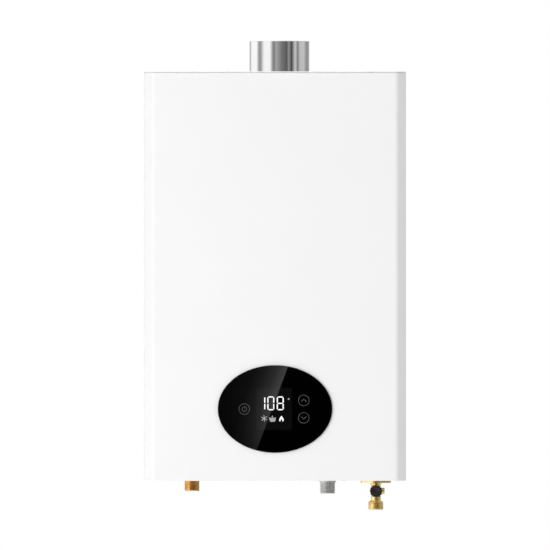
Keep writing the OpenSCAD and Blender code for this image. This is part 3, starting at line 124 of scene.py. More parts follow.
# Inlet valve and its drain
COLD_X, _, _ = in_mm(*MOUNTS["cold_inlet_thread"]["pos_m"])
(_, VALVE_FRONT, COLD_LOW), (_, _, VALVE_TOP) = node_box("inlet_valve_body")
_, _, KNOB_Z = in_mm(*JOINTS["drain_turn"]["pos_m"])
(_, KNOB_FRONT, _), (_, KNOB_BACK, _) = node_box("drain_knob")
KNOB_H, KNOB_R = KNOB_BACK - KNOB_FRONT, 8.5
FLANGE_LOW, FLANGE_HIGH, FLANGE_R, EAR_R = -4.4, 1.4, 12.0, 5.0
NECK_R, NECK_LOW, SPIGOT_R = 6.5, -28.5, 10.4
BARREL_R, SPOUT_R, SPOUT_L, SPOUT_BACK = 8.0, 4.5, 11.6, 6.75
WAY_R, DRAIN_R, SPOUT_WAY_R = 4.0, 4.8, 2.0
PIPE_LINE = (COLD_X, MID_Y, 0.0)
DRAIN_LINE = (COLD_X, VALVE_FRONT, KNOB_Z)
SPOUT_LINE = (COLD_X, VALVE_FRONT + SPOUT_BACK, KNOB_Z)

# Camera and studio: the camera's height in mm like the sizes above, other places in metres
CAMERA_Z = 275.0
CAMERA_DISTANCE, CAMERA_LENS = 12.0, 587.9
ROOM_LIGHT = 1.2
FLOOR_Z, FLOOR_HALF, FLOOR_GLOW = -1.6, 15.0, 0.22
LIGHT_SPOT, LIGHT_AIM_Z = (-1.25, -2.42, -0.2), -0.22
WHITE = (1.0, 1.0, 1.0, 1.0)
PALE = (0.9, 0.9, 0.9, 1.0)
# Walls, soft boxes and flags as polished metal sees them: degrees to the right of the camera, level
STUDIO_BANDS = [
    (-180, 0.3), (-158, 0.35), (-148, 0.7), (-136, 0.95), (-100, 1.0), (-92, 0.5), (-84, 0.3),
    (-76, 0.36), (-66, 0.8), (-60, 0.95), (-38, 0.95), (-25, 0.23), (-20, 0.22), (-13, 0.38),
    (-5, 0.3), (8, 0.18), (29, 0.1), (36, 0.29), (42, 0.17), (48, 0.04), (57, 0.33),
    (64, 0.6), (76, 0.17), (84, 0.5), (108, 0.55), (131, 0.25), (152, 0.4), (180, 0.3)]


# Node trees

def feed(tree, node, inputs):
    """Sets a node's inputs to values, outputs, or nodes, whose first outputs are linked."""
    for name, value in inputs.items():
        if isinstance(value, bpy.types.Node):
            value = value.outputs[0]
        if isinstance(value, bpy.types.NodeSocket):
            tree.links.new(value, node.inputs[name])
        else:
            node.inputs[name].default_value = value


def put(tree, kind, inputs=None, **choices):
    """A new node with its choices and inputs set."""
    node = tree.nodes.new(kind)
    for name, value in choices.items():
        setattr(node, name, value)
    feed(tree, node, inputs or {})
    return node


def math_of(tree, operation, *values):
    return put(tree, "ShaderNodeMath", dict(enumerate(values)), operation=operation)


def ramp(tree, value, stops):
    """A colour ramp through stops of a position and a colour, in rising order."""
    node = put(tree, "ShaderNodeValToRGB", {0: value})
    elements = node.color_ramp.elements
    for k, (spot, color) in enumerate(stops):
        stop = elements[k] if k < 2 else elements.new(spot)
        stop.position = spot
        stop.color = (*color, 1.0)
    return node


def span(tree, value, start, end, low=0.0, high=1.0):
    """Maps a value's run from start to end onto low to high."""
    return put(tree, "ShaderNodeMapRange", {"Value": value, "From Min": start, "From Max": end,
                                            "To Min": low, "To Max": high})


def own_place(tree):
    """A point's place in its own piece."""
    return put(tree, "ShaderNodeTexCoord").outputs["Object"]


def shader(material):
    return material.node_tree.nodes["Principled BSDF"]


def new_material(name, inputs=None):
    """A material with plain values set on its shader."""
    material = bpy.data.materials.new(name)
    material.use_nodes = True
    feed(material.node_tree, shader(material), inputs or {})
    return material


# Finishes

# Where most of a noise's values lie
NOISE_LOW, NOISE_HIGH = 0.3, 0.7


def metal(name):
    return new_material(name, {"Metallic": 1.0})


def noise(material, scale, detail=2.0, stretch=(1.0, 1.0, 1.0), seed=0.0):
    """Fine noise on the piece's own place, stretched where a finish runs one way."""
    tree = material.node_tree
    run = put(tree, "ShaderNodeMapping", {"Vector": own_place(tree), "Scale": stretch,
                                          "Location": (seed, seed * 0.7, seed * 1.3)})
    return put(tree, "ShaderNodeTexNoise", {"Vector": run, "Scale": scale, "Detail": detail})


def tint(material, cloud, dark, light, low=NOISE_LOW, high=NOISE_HIGH):
    """Colour that wanders between two tones."""
    tree = material.node_tree
    tones = ramp(tree, cloud.outputs["Fac"], [(low, dark), (high, light)])
    feed(tree, shader(material), {"Base Color": tones})


def sheen(material, cloud, low, high):
    """Roughness that wanders between two values."""
    tree = material.node_tree
    rough = span(tree, cloud.outputs["Fac"], NOISE_LOW, NOISE_HIGH, low, high)
    feed(tree, shader(material), {"Roughness": rough})


def relief(material, cloud, strength, depth=0.0001):
    """Bump of a given depth in metres."""
    tree = material.node_tree
    lift = put(tree, "ShaderNodeBump", {"Height": cloud.outputs["Fac"], "Strength": strength,
                                        "Distance": depth})
    feed(tree, shader(material), {"Normal": lift})


def white_powder_coat():
    skin = new_material("white_powder_coat", {"Specular IOR Level": 0.25})
    tint(skin, noise(skin, 9.0, 3.0), (0.878, 0.879, 0.877), (0.89, 0.89, 0.887))
    sheen(skin, noise(skin, 420.0), 0.4, 0.5)
    relief(skin, noise(skin, 900.0), 0.12)


def polished_stainless():
    skin = metal("polished_stainless")
    tint(skin, noise(skin, 35.0, 3.0), (0.93, 0.93, 0.925), (0.97, 0.97, 0.965))
    sheen(skin, noise(skin, 300.0, 2.0, (0.05, 0.05, 4.0)), 0.04, 0.09)


def brushed_stainless():
    skin = metal("brushed_stainless")
    tint(skin, noise(skin, 60.0, 3.0, (1.0, 1.0, 0.15)), (0.52, 0.51, 0.50), (0.68, 0.67, 0.66))
    sheen(skin, noise(skin, 500.0, 2.0, (0.1, 0.1, 4.0)), 0.34, 0.48)


def zinc_steel():
    skin = metal("zinc_steel")
    tint(skin, noise(skin, 140.0, 4.0), (0.56, 0.57, 0.58), (0.72, 0.73, 0.74))
    sheen(skin, noise(skin, 90.0, 4.0, seed=3.0), 0.28, 0.48)
    relief(skin, noise(skin, 600.0, seed=5.0), 0.1)


def screw_steel():
    skin = metal("screw_steel")
    tint(skin, noise(skin, 500.0, 3.0), (0.62, 0.62, 0.6), (0.76, 0.76, 0.75))
    sheen(skin, noise(skin, 900.0, seed=2.0), 0.2, 0.36)


def nickel_fitting():
    skin = metal("nickel_fitting")
    tint(skin, noise(skin, 260.0, 3.0), (0.60, 0.60, 0.59), (0.74, 0.74, 0.73))
    sheen(skin, noise(skin, 700.0, 2.0, (1.0, 1.0, 5.0)), 0.46, 0.6)


def yellow_brass():
    skin = metal("yellow_brass")
    tint(skin, noise(skin, 210.0, 4.0), (0.84, 0.65, 0.28), (0.96, 0.82, 0.46), 0.25, 0.62)
    sheen(skin, noise(skin, 800.0, 2.0, (1.0, 1.0, 5.0), 4.0), 0.17, 0.3)


def hot_brass():
    skin = metal("hot_brass")
    tint(skin, noise(skin, 180.0, 4.0, seed=3.0), (0.69, 0.39, 0.11), (0.86, 0.57, 0.22), 0.25, 0.62)
    sheen(skin, noise(skin, 800.0, 2.0, (1.0, 1.0, 5.0), 4.0), 0.15, 0.26)


def cast_brass():
    skin = metal("cast_brass")
    tint(skin, noise(skin, 260.0, 4.0), (0.78, 0.57, 0.21), (0.95, 0.79, 0.41), high=0.65)
    sheen(skin, noise(skin, 500.0, 3.0, seed=6.0), 0.2, 0.36)
    relief(skin, noise(skin, 1400.0, 3.0), 0.15)


def bare_copper():
    skin = metal("bare_copper")
    tint(skin, noise(skin, 60.0, 5.0), (0.60, 0.26, 0.15), (0.84, 0.46, 0.30))
    sheen(skin, noise(skin, 150.0, 4.0, seed=2.0), 0.22, 0.42)


def burner_steel():
    skin = metal("burner_steel")
    tint(skin, noise(skin, 80.0, 4.0), (0.42, 0.39, 0.37), (0.58, 0.56, 0.54))
    sheen(skin, noise(skin, 400.0, 2.0, (8.0, 1.0, 1.0)), 0.28, 0.44)


def cast_aluminium():
    skin = new_material("cast_aluminium", {"Metallic": 1.0, "Roughness": 0.45})
    tint(skin, noise(skin, 300.0, 4.0), (0.62, 0.63, 0.64), (0.75, 0.76, 0.77))
    relief(skin, noise(skin, 1500.0, 3.0), 0.3)


def motor_black():
    skin = new_material("motor_black", {"Base Color": (0.045, 0.045, 0.048, 1.0)})
    sheen(skin, noise(skin, 500.0, 3.0), 0.32, 0.52)
    relief(skin, noise(skin, 1200.0), 0.15)


def circuit_board():
    skin = new_material("circuit_board", {"Roughness": 0.35})
    tint(skin, noise(skin, 260.0, 1.0, (1.0, 1.0, 0.25)), (0.02, 0.12, 0.045), (0.05, 0.24, 0.09), 0.48, 0.52)


def coil_winding():
    skin = new_material("coil_winding", {"Roughness": 0.3, "Specular IOR Level": 0.6})
    tree = skin.node_tree
    turns = put(tree, "ShaderNodeTexWave", {"Vector": own_place(tree), "Scale": 380.0}, bands_direction="Z")
    tint(skin, turns, (0.22, 0.07, 0.025), (0.45, 0.18, 0.07), 0.2, 0.8)
    relief(skin, turns, 0.5, 0.0002)


def dark_glass(name, color, seed=0.0):
    skin = new_material(name, {"Base Color": (*color, 1.0)})
    sheen(skin, noise(skin, 40.0, 3.0, seed=seed), 0.012, 0.02)


def lit_mark(name, level, glow):
    """Printed or lit sign on the glass; a little of its light is its own."""
    skin = new_material(name, {"Roughness": 0.25, "Emission Color": WHITE, "Emission Strength": glow})
    tint(skin, noise(skin, 900.0), (level * 0.96,) * 3, (level,) * 3)


def moulded(name, color, rough=0.45, grain=900.0, strength=0.15):
    """Moulded plastic, rubber or fibre with a fine grain."""
    skin = new_material(name)
    tint(skin, noise(skin, 70.0, 3.0, seed=1.0), tuple(c * 0.9 for c in color), color)
    sheen(skin, noise(skin, 350.0, 3.0), rough - 0.07, rough + 0.07)
    relief(skin, noise(skin, grain), strength)


def make_finishes():
    """Every finish; pieces take them by name."""
    for make in (white_powder_coat, polished_stainless, brushed_stainless, zinc_steel, screw_steel,
                 nickel_fitting, yellow_brass, hot_brass, cast_brass, bare_copper, burner_steel,
                 cast_aluminium, motor_black, circuit_board, coil_winding):
        make()
    dark_glass("black_glass", (0.0004, 0.0004, 0.0005))
    dark_glass("window_glass", (0.0038, 0.0038, 0.004), 2.0)
    lit_mark("lit_digit", 0.85, 0.3)
    lit_mark("grey_sign", 0.5, 0.04)
    lit_mark("pale_sign", 0.38, 0.02)
    lit_mark("key_line", 0.13, 0.0)
    moulded("black_plastic", (0.024, 0.024, 0.026))
    moulded("knob_black", (0.015, 0.011, 0.011), 0.33)
    moulded("black_rubber", (0.028, 0.028, 0.028), 0.62, 700.0, 0.3)
    moulded("gasket_fibre", (0.26, 0.26, 0.25), 0.8, 500.0, 0.5)
    moulded("white_plastic", (0.82, 0.82, 0.80))
    moulded("blue_plastic", (0.09, 0.2, 0.42))
    moulded("component_mix", (0.07, 0.1, 0.2), 0.38)
    moulded("white_ceramic", (0.86, 0.84, 0.78), 0.16, 300.0, 0.05)


# Camera, light and stage

def add_object(name, data):
    holder = bpy.data.objects.new(name, data)
    scene.collection.objects.link(holder)
    return holder


def set_camera():
    """The photograph's straight view from the front."""
    camera = bpy.data.cameras.new("front_camera")
    camera.sensor_width = 36.0
    camera.lens = CAMERA_LENS
    camera.clip_end = 60.0
    holder = add_object("front_camera", camera)
    holder.location = (0.0, COVER_FRONT * MM - CAMERA_DISTANCE, (CAMERA_Z - HANG_Z) * MM)
    holder.rotation_euler = (math.pi / 2, 0.0, 0.0)
    scene.camera = holder


def set_world():
    """White behind the object, an even room light, and the studio's bands for metal and glass."""
    # Shades start and end at parts of a ray's direction
    bands_end, ceiling_start = 0.2, 0.6
    ceiling_left, ceiling_right, ceiling_shade = -0.3, 0.8, 0.62
    room_low, room_high, room_shade = -0.2, 1.0, 0.42
    world = bpy.data.worlds.new("studio")
    scene.world = world
    world.use_nodes = True
    tree = world.node_tree
    tree.nodes.clear()
    place = put(tree, "ShaderNodeTexCoord")
    x, y, z = put(tree, "ShaderNodeSeparateXYZ", {0: place.outputs["Generated"]}).outputs
    turn = math_of(tree, "ARCTAN2", x, math_of(tree, "MULTIPLY", y, -1.0))
    bands = ramp(tree, span(tree, turn, -math.pi, math.pi),
                 [((degrees + 180.0) / 360.0, (level,) * 3) for degrees, level in STUDIO_BANDS])
    steep = span(tree, math_of(tree, "ABSOLUTE", z), bands_end, ceiling_start)
    ceiling = span(tree, x, ceiling_left, ceiling_right, 1.0, ceiling_shade)
    studio = put(tree, "ShaderNodeMixRGB", {"Fac": steep, "Color1": bands, "Color2": ceiling})
    reflected = put(tree, "ShaderNodeBackground", {"Color": studio})
    height = span(tree, z, room_low, room_high, ROOM_LIGHT, ROOM_LIGHT * room_shade)
    room = put(tree, "ShaderNodeBackground", {"Color": (0.8, 0.8, 0.8, 1.0), "Strength": height})
    behind = put(tree, "ShaderNodeBackground", {"Color": WHITE})
    rays = put(tree, "ShaderNodeLightPath").outputs
    lit = put(tree, "ShaderNodeMixShader", {0: rays["Is Glossy Ray"], 1: room, 2: reflected})
    seen = math_of(tree, "MAXIMUM", rays["Is Camera Ray"], rays["Is Transmission Ray"])
    whole = put(tree, "ShaderNodeMixShader", {0: seen, 1: lit, 2: behind})
    put(tree, "ShaderNodeOutputWorld", {"Surface": whole})


def set_key_light():
    """One soft box at the front left, near enough to fade across the casing."""
    soft_box = bpy.data.lights.new("soft_box", "AREA")
    soft_box.shape = "RECTANGLE"
    soft_box.size, soft_box.size_y = 1.6, 2.4
    soft_box.energy = 35.0
    holder = add_object("soft_box", soft_box)
    holder.location = LIGHT_SPOT
    aim = Vector((0.0, COVER_FRONT * MM, LIGHT_AIM_Z)) - holder.location
    holder.rotation_euler = aim.to_track_quat("-Z", "Z").to_euler()
    holder.visible_glossy = False


def stage_plane(name, middle, a, b, material):
    """A flat piece of the stage; a and b reach from its middle to its sides."""
    middle, a, b = Vector(middle), Vector(a), Vector(b)
    mesh = bpy.data.meshes.new(name)
    mesh.from_pydata([middle - a - b, middle + a - b, middle + a + b, middle - a + b], [], [(0, 1, 2, 3)])
    mesh.materials.append(material)
    plane = add_object(name, mesh)
    return plane


def set_floor():
    """A pale floor well below the hung heater: it takes shadows, and is clear from underneath."""
    material = new_material("pale_floor", {"Base Color": PALE, "Roughness": 0.8})
    relief(material, noise(material, 60.0), 0.02, 0.001)
    tree = material.node_tree
    seen = put(tree, "ShaderNodeLightPath").outputs["Is Camera Ray"]
    glow = put(tree, "ShaderNodeEmission", {"Strength": math_of(tree, "MULTIPLY", seen, FLOOR_GLOW)})
    upper = put(tree, "ShaderNodeAddShader", {0: shader(material), 1: glow})
    below = put(tree, "ShaderNodeNewGeometry").outputs["Backfacing"]
    clear = put(tree, "ShaderNodeBsdfTransparent")
    whole = put(tree, "ShaderNodeMixShader", {0: below, 1: upper, 2: clear})
    feed(tree, tree.nodes["Material Output"], {"Surface": whole})
    floor = stage_plane("floor", (0.0, 0.0, FLOOR_Z), (FLOOR_HALF, 0.0, 0.0), (0.0, FLOOR_HALF, 0.0),
                        material)
    floor.visible_glossy = False


def gloss_card(material, shade, middle, a, b, solid):
    """A card that only gloss sees, faded towards its rim so that no reflection has a hard end."""
    # Half its size along each axis, or 1 where it is flat
    reach = [u + v or 1.0 for u, v in zip(a, b)]
    tree = material.node_tree
    spread = put(tree, "ShaderNodeMapping", {"Vector": own_place(tree), "Scale": [1.0 / r for r in reach],
                                             "Location": [-m / r for m, r in zip(middle, reach)]})
    size = put(tree, "ShaderNodeVectorMath", {0: spread}, operation="LENGTH").outputs["Value"]
    fade = span(tree, size, solid, 1.0, 1.0, 0.0)
    fade.interpolation_type = "SMOOTHSTEP"
    clear = put(tree, "ShaderNodeBsdfTransparent")
    whole = put(tree, "ShaderNodeMixShader", {0: fade, 1: clear, 2: shade})
    feed(tree, tree.nodes["Material Output"], {"Surface": whole})
    card = stage_plane(material.name, middle, a, b, material)
    for rays in ("camera", "diffuse", "shadow", "transmission"):
        setattr(card, "visible_" + rays, False)


def set_panel_card():
    """A dark card before the panel, with a lit strip that has a slanted edge and weakens downwards."""
    # The edge and the fall of light in mm on the panel, the card itself in metres
    edge_low, edge_top = (-24.0, 42.5), (17.4, 152.8)
    weak_z, full_z, weak, full = 46.0, 116.0, 0.35, 1.3
    distance, strip_low, strip_high = 0.6, -0.004, 0.084
    strip_tones = [(0.0, 0.0), (0.043, 0.0), (0.05, 0.95), (0.2, 0.44), (0.36, 0.2), (0.52, 0.085),
                   (1.0, 0.015)]

    def on_card(x, z):
        """Where the card shows in the glass at a point of the panel."""
        spread = 1.0 + distance / CAMERA_DISTANCE
        return Vector((x * spread, 0.0, (z - CAMERA_Z) * spread + CAMERA_Z - HANG_Z)) * MM
    material = new_material("panel_card")
    tree = material.node_tree
    tree.nodes.remove(shader(material))
    place = own_place(tree)
    along = (on_card(*edge_top) - on_card(*edge_low)).normalized()
    side = Vector((-along.z, 0.0, along.x))
    start = side.dot(on_card(*edge_low))
    across = put(tree, "ShaderNodeVectorMath", {0: place, 1: side}, operation="DOT_PRODUCT")
    tone = ramp(tree, span(tree, across.outputs["Value"], start + strip_low, start + strip_high),
                [(spot, (level,) * 3) for spot, level in strip_tones])
    height = put(tree, "ShaderNodeSeparateXYZ", {0: place}).outputs["Z"]
    fall = span(tree, height, on_card(0.0, weak_z).z, on_card(0.0, full_z).z, weak, full)
    glow = put(tree, "ShaderNodeEmission", {"Color": tone, "Strength": fall})
    middle = (0.0, GLASS_FRONT * MM - distance, on_card(0.0, PANEL_Z).z)
    tall, wide = (0.0, 0.0, 0.15), (0.19, 0.0, 0.0)
    gloss_card(material, glow, middle, tall, wide, solid=0.45)


def set_bounce_card():
    """A white card low on the left that brightens the fittings; the casing hides it from the rest."""
    material = new_material("bounce_card", {"Base Color": PALE, "Emission Color": WHITE,
                                            "Emission Strength": 1.8})
    middle, deep, tall = (-0.55, -0.3, -0.76), (0.0, 0.5, 0.0), (0.0, 0.0, 0.32)
    gloss_card(material, shader(material), middle, deep, tall, solid=0.5)


# Mesh work

TO_FRAME = Matrix.Scale(MM, 4) @ Matrix.Translation((0.0, 0.0, -HANG_Z))


def shade_soft(mesh, smooth):
    """Smooth shading but for edges sharper than an angle in degrees."""
    mesh.shade_smooth()
    mesh.set_sharp_from_angle(angle=math.radians(smooth))


def place_mesh(name, bm, smooth=40.0):
    """An object at the origin with the shape's place in its mesh."""
    bmesh.ops.remove_doubles(bm, verts=bm.verts, dist=0.0005)
    bmesh.ops.recalc_face_normals(bm, faces=bm.faces)
    mesh = bpy.data.meshes.new(name)
    bm.to_mesh(mesh)
    bm.free()
    mesh.transform(TO_FRAME)
    shade_soft(mesh, smooth)
    return add_object(name, mesh)


def bake(piece):
    """Turns the modifiers' result into the piece's own plain mesh."""
    bpy.context.view_layer.update()
    depsgraph = bpy.context.evaluated_depsgraph_get()
    mesh = bpy.data.meshes.new_from_object(piece.evaluated_get(depsgraph))
    old = piece.data
    piece.modifiers.clear()
    piece.data = mesh
    bpy.data.meshes.remove(old)
    mesh.name = piece.name


def combine(piece, other, operation):
    """Adds another piece to this one, or cuts it away."""
    step = piece.modifiers.new(operation.lower(), "BOOLEAN")
    step.operation = operation
    step.solver = "EXACT"
    step.object = other
    bake(piece)
    bpy.data.objects.remove(other)


def even_normals(piece):
    """Lets the large faces rule the shading of the bends beside them."""
    step = piece.modifiers.new("normals", "WEIGHTED_NORMAL")
    step.keep_sharp = True
    step.weight = 80
    bake(piece)


def hand_over(piece, look, *nodes, slot=None, body="casing"):
    """Gives a piece its finish and its body, and hides the nodes that it stands in for; slot is not used."""
    piece.data.materials.clear()
    piece.data.materials.append(bpy.data.materials[look])
    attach(piece, body)
    if nodes:
        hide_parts(*nodes)


def wall(bm, a, b):
    """The faces between two closed rows of points; a row of one point is a tip."""
    for k in range(max(len(a), len(b))):
        n = k + 1
        corners = (a[k % len(a)], a[n % len(a)], b[n % len(b)], b[k % len(b)])
        bm.faces.new(list(dict.fromkeys(corners)))


def loft(bm, rows):
    """A closed skin through rows of points, with its two ends filled."""
    rings = [[bm.verts.new(point) for point in row] for row in rows]
    for a, b in zip(rings, rings[1:]):
        wall(bm, a, b)
    bm.faces.new(rings[0])
    bm.faces.new(rings[-1])
    return rings


def prism(bm, outline, back, front):
    """A flat shape in the x-z plane, from y = back to y = front."""
    return loft(bm, [[(x, y, z) for x, z in outline] for y in (back, front)])


def plate(bm, outline, low, high):
    """A flat shape seen from above, between two heights."""
    return loft(bm, [[(x, y, z) for x, y in outline] for z in (low, high)])


def on_axis(origin, axis, radius, angle, h):
    """A point round an axis through origin; heights on Y run towards the front."""
    across, up = radius * math.cos(angle), radius * math.sin(angle)
    move = {"X": (h, across, up), "Y": (across, -h, up), "Z": (across, up, h)}[axis]
    return Vector(origin) + Vector(move)


def turned(bm, profile, origin, axis="Z", segments=96, shape=None):
    """Turns a profile of (radius, height) pairs round an axis; shape may alter a radius by its angle."""
    rings = []
    for r, h in profile:
        angles = [2.0 * math.pi * k / segments for k in range(segments if r else 1)]
        spots = [on_axis(origin, axis, shape(r, a) if shape else r, a, h) for a in angles]
        rings.append([bm.verts.new(spot) for spot in spots])
    # A profile that keeps off the axis is closed
    if len(rings[0]) > 1:
        rings.append(rings[0])
    for a, b in zip(rings, rings[1:]):
        wall(bm, a, b)


def filled(profile):
    """The profile of a solid piece, whose ends run in to the axis."""
    return [(0, profile[0][1])] + profile + [(0, profile[-1][1])]


def bar(name, profile, origin, axis="Z", segments=96, shape=None, smooth=40.0):
    """A turned shape as an object of its own."""
    bm = bmesh.new()
    turned(bm, profile, origin, axis, segments, shape)
    return place_mesh(name, bm, smooth)


def arc(x, z, radius, start, end, steps):
    """Points of an arc, in degrees."""
    angles = [math.radians(start + (end - start) * k / steps) for k in range(steps + 1)]
    return [(x + radius * math.cos(a), z + radius * math.sin(a)) for a in angles]


def ellipse(x, z, w, h, steps):
    """Points of a whole ellipse."""
    angles = [2 * math.pi * k / steps for k in range(steps)]
    return [(x + w / 2 * math.cos(a), z + h / 2 * math.sin(a)) for a in angles]


def mirrored(half):
    """A whole outline from its half at x >= 0."""
    return half + [(-x, z) for x, z in reversed(half) if x]


# Casing

def cover_outline(inset, rear):
    """The cover's bend line from above, from the rear right corner round the front to the rear left."""
    side, front = COVER_SIDE - inset, COVER_FRONT + inset
    leg = SLANT_W - inset * (2 - math.sqrt(2))
    bend, turn = SLANT_BEND - inset, SIDE_BEND - inset
    bend_cut, turn_cut = bend * math.tan(math.pi / 8), turn * math.tan(math.pi / 8)
    right = [(side, rear)]
    right += arc(side - turn, front + leg + turn_cut, turn, 0, -45, 6)
    right += arc(side - leg - bend_cut, front + bend, bend, -45, -90, 8)
    return mirrored(right)


def cover_solid():
    """The cover's body, filled, with its top and bottom edges rounded."""
    bm = bmesh.new()
    rings = plate(bm, cover_outline(0.0, COVER_REAR), 0.0, CASE_H)
    rims = [bm.edges.get(pair) for ring in rings for pair in zip(ring, ring[1:])]
    bmesh.ops.bevel(bm, geom=rims, offset=EDGE_R, segments=5, profile=0.5, affect="EDGES",
                    clamp_overlap=True)
    return place_mesh("cover_skin", bm)


def cover_hollow():
    """What the sheet leaves empty: the inside, open above and below behind the two lips."""
    inside = cover_outline(SHEET, PAST)
    (right, rear), (left, _) = inside[0], inside[-1]
    outline = [(right, rear), (right, LIP_END)] + inside[1:-1] + [(left, LIP_END), (left, rear)]
    bm = bmesh.new()
    low, high = ([bm.verts.new((x, y, z)) for x, y in outline] for z in (SHEET, CASE_H - SHEET))
    wall(bm, low, high)
    for row, z in ((low, -PAST), (high, CASE_H + PAST)):
        bm.faces.new(row[1:-1])
        mouth = [row[0], row[1], row[-2], row[-1]]
        end = [bm.verts.new((v.co.x, v.co.y, z)) for v in mouth]
        bm.faces.new(end)
        wall(bm, mouth, end)
    return place_mesh("cover_hollow", bm)


def screw_sink(x, z, way):
    """The cone that a countersunk head sits in."""
    cone_r, hole_r, cone_depth, hole_depth = HEAD_R + 0.25, SHANK_R + 0.15, 1.7, 4.0
    profile = filled([(cone_r, 0.2), (hole_r, -cone_depth), (hole_r, -hole_depth)])
    return bar("screw_sink", [(r, h * way) for r, h in profile], (x, COVER_SCREW_Y, z), segments=48)


def fold_line():
    """The fine gap between the folded top and the sides, as a ring to cut away."""
    spare, rear = 1.0, LIP_END - 2.0
    ring, core = bmesh.new(), bmesh.new()
    plate(ring, cover_outline(-spare, rear), FOLD_LOW, FOLD_HIGH)
    plate(core, cover_outline(FOLD_D, PAST), FOLD_LOW - spare, FOLD_HIGH + spare)
    line = place_mesh("fold_line", ring)
    combine(line, place_mesh("fold_core", core), "DIFFERENCE")
    return line


def make_cover():
    """The front cover: a bent sheet with two lips, the panel's opening and four screw seats."""
    cover = cover_solid()
    combine(cover, cover_hollow(), "DIFFERENCE")
    hole = bmesh.new()
    prism(hole, ellipse(0.0, PANEL_Z, OPENING_W, OPENING_H, 160), COVER_FRONT + PAST, COVER_FRONT - PAST)
    combine(cover, place_mesh("panel_hole", hole), "DIFFERENCE")
    for x in COVER_SCREWS_X:
        for z, way in ((0.0, -1.0), (CASE_H, 1.0)):
            combine(cover, screw_sink(x, z, way), "DIFFERENCE")
    combine(cover, fold_line(), "DIFFERENCE")
    shade_soft(cover.data, 40.0)
    even_normals(cover)
    hand_over(cover, "white_powder_coat", "front_cover")


def make_flue():
    """The flue spigot: a turned foot, a thin wall and a hemmed top edge."""
    foot_top, foot_bend = FLUE_LOW + 1.0, 1.2
    hem_r, hem_low, wall_top = 0.55, FLUE_TOP - 0.8, FLUE_TOP - 3.2
    profile = [(FLUE_FOOT_R, FLUE_LOW), (FLUE_FOOT_R, foot_top)]
    profile += arc(FLUE_R + foot_bend, foot_top + foot_bend, foot_bend, 270, 180, 5)
    # The row at wall_top keeps the hem's shading off the wall
    profile += [(FLUE_R, wall_top), (FLUE_R, hem_low)]
    profile += arc((FLUE_R + FLUE_BORE_R) / 2, FLUE_TOP - hem_r, hem_r, 0, 180, 8)
    profile += [(FLUE_BORE_R, hem_low), (FLUE_BORE_R, FLUE_LOW)]
    spigot = bar("flue_spigot", profile, (FLUE_X, MID_Y, 0.0), segments=192)
    even_normals(spigot)
    hand_over(spigot, "polished_stainless", "flue_collar")
    # Its inside is brushed
    spigot.data.materials.append(bpy.data.materials["brushed_stainless"])
    for face in spigot.data.polygons:
        reach = math.hypot(face.center.x / MM - FLUE_X, face.center.y / MM - MID_Y)
        if reach < FLUE_BORE_R + 0.1:
            face.material_index = 1


def soft_copy(node, name, width, look):
    """A copy of a pressed or moulded node with its edges broken."""
    bm = bmesh.new()
    bm.from_mesh(frame["nodes"][node].data)
    bmesh.ops.remove_doubles(bm, verts=bm.verts, dist=1e-6)
    bmesh.ops.dissolve_limit(bm, angle_limit=math.radians(0.5), verts=bm.verts, edges=bm.edges)
    mesh = bpy.data.meshes.new(name)
    bm.to_mesh(mesh)
    bm.free()
    shade_soft(mesh, 35.0)
    piece = add_object(name, mesh)
    step = piece.modifiers.new("edges", "BEVEL")
    step.width = width * MM
    step.segments = 2
    step.limit_method = "ANGLE"
    step.angle_limit = math.radians(40.0)
    step.harden_normals = True
    bake(piece)
    hand_over(piece, look, node)


# Control panel

def make_panel():
    """The oval glass with a ground round edge."""
    edge = 0.9
    steps = [(0.0, GLASS_BACK)] + arc(edge, GLASS_FACE + edge, edge, 180, 270, 6)
    bm = bmesh.new()
    loft(bm, [[(x, y, z) for x, z in ellipse(0.0, PANEL_Z, GLASS_W - 2 * inset, GLASS_H - 2 * inset, 192)]
              for inset, y in steps])
    glass = place_mesh("panel_lens", bm, smooth=50.0)
    even_normals(glass)
    hand_over(glass, "black_glass", "panel_glass")


def make_window():
    """The display window behind the figures."""
    x, z = WINDOW_W / 2 - WINDOW_R, WINDOW_H / 2 - WINDOW_R
    outline = mirrored(arc(x, z, WINDOW_R, 90, 0, 6) + arc(x, -z, WINDOW_R, 0, -90, 6))
    bm = bmesh.new()
    prism(bm, [(a + WINDOW_X, b + PANEL_Z) for a, b in outline], MARK_BACK, WINDOW_FRONT)
    hand_over(place_mesh("display_window", bm), "window_glass", slot="black_glass")


def sign(bm, outline, spot=(0.0, 0.0)):
    """A thin print on the glass."""
    prism(bm, [(x + spot[0], z + spot[1] + PANEL_Z) for x, z in outline], MARK_BACK, MARK_FRONT)


def figure_bar(bm, a, b):
    """One pointed bar of a figure, a little short of the corners that it runs between."""
    along = (Vector(b) - Vector(a)).normalized()
    a, b = Vector(a) + along * BAR_GAP, Vector(b) - along * BAR_GAP
    tip, side = along * BAR_W / 2, along.orthogonal() * BAR_W / 2
    sign(bm, [a, a + tip + side, b - tip + side, b, b - tip - side, a + tip - side])


def figure(bm, digit, x):
    """A seven-bar figure."""
    left, right = x - FIGURE_W / 2, x + FIGURE_W / 2
    low, high = FIGURE_Z - FIGURE_H / 2, FIGURE_Z + FIGURE_H / 2
    bars = {"a": ((left, high), (right, high)), "b": ((right, high), (right, FIGURE_Z)),
            "c": ((right, FIGURE_Z), (right, low)), "d": ((left, low), (right, low)),
            "e": ((left, FIGURE_Z), (left, low)), "f": ((left, high), (left, FIGURE_Z)),
            "g": ((left, FIGURE_Z), (right, FIGURE_Z))}
    for name in FIGURE_BARS[digit]:
        figure_bar(bm, *bars[name])


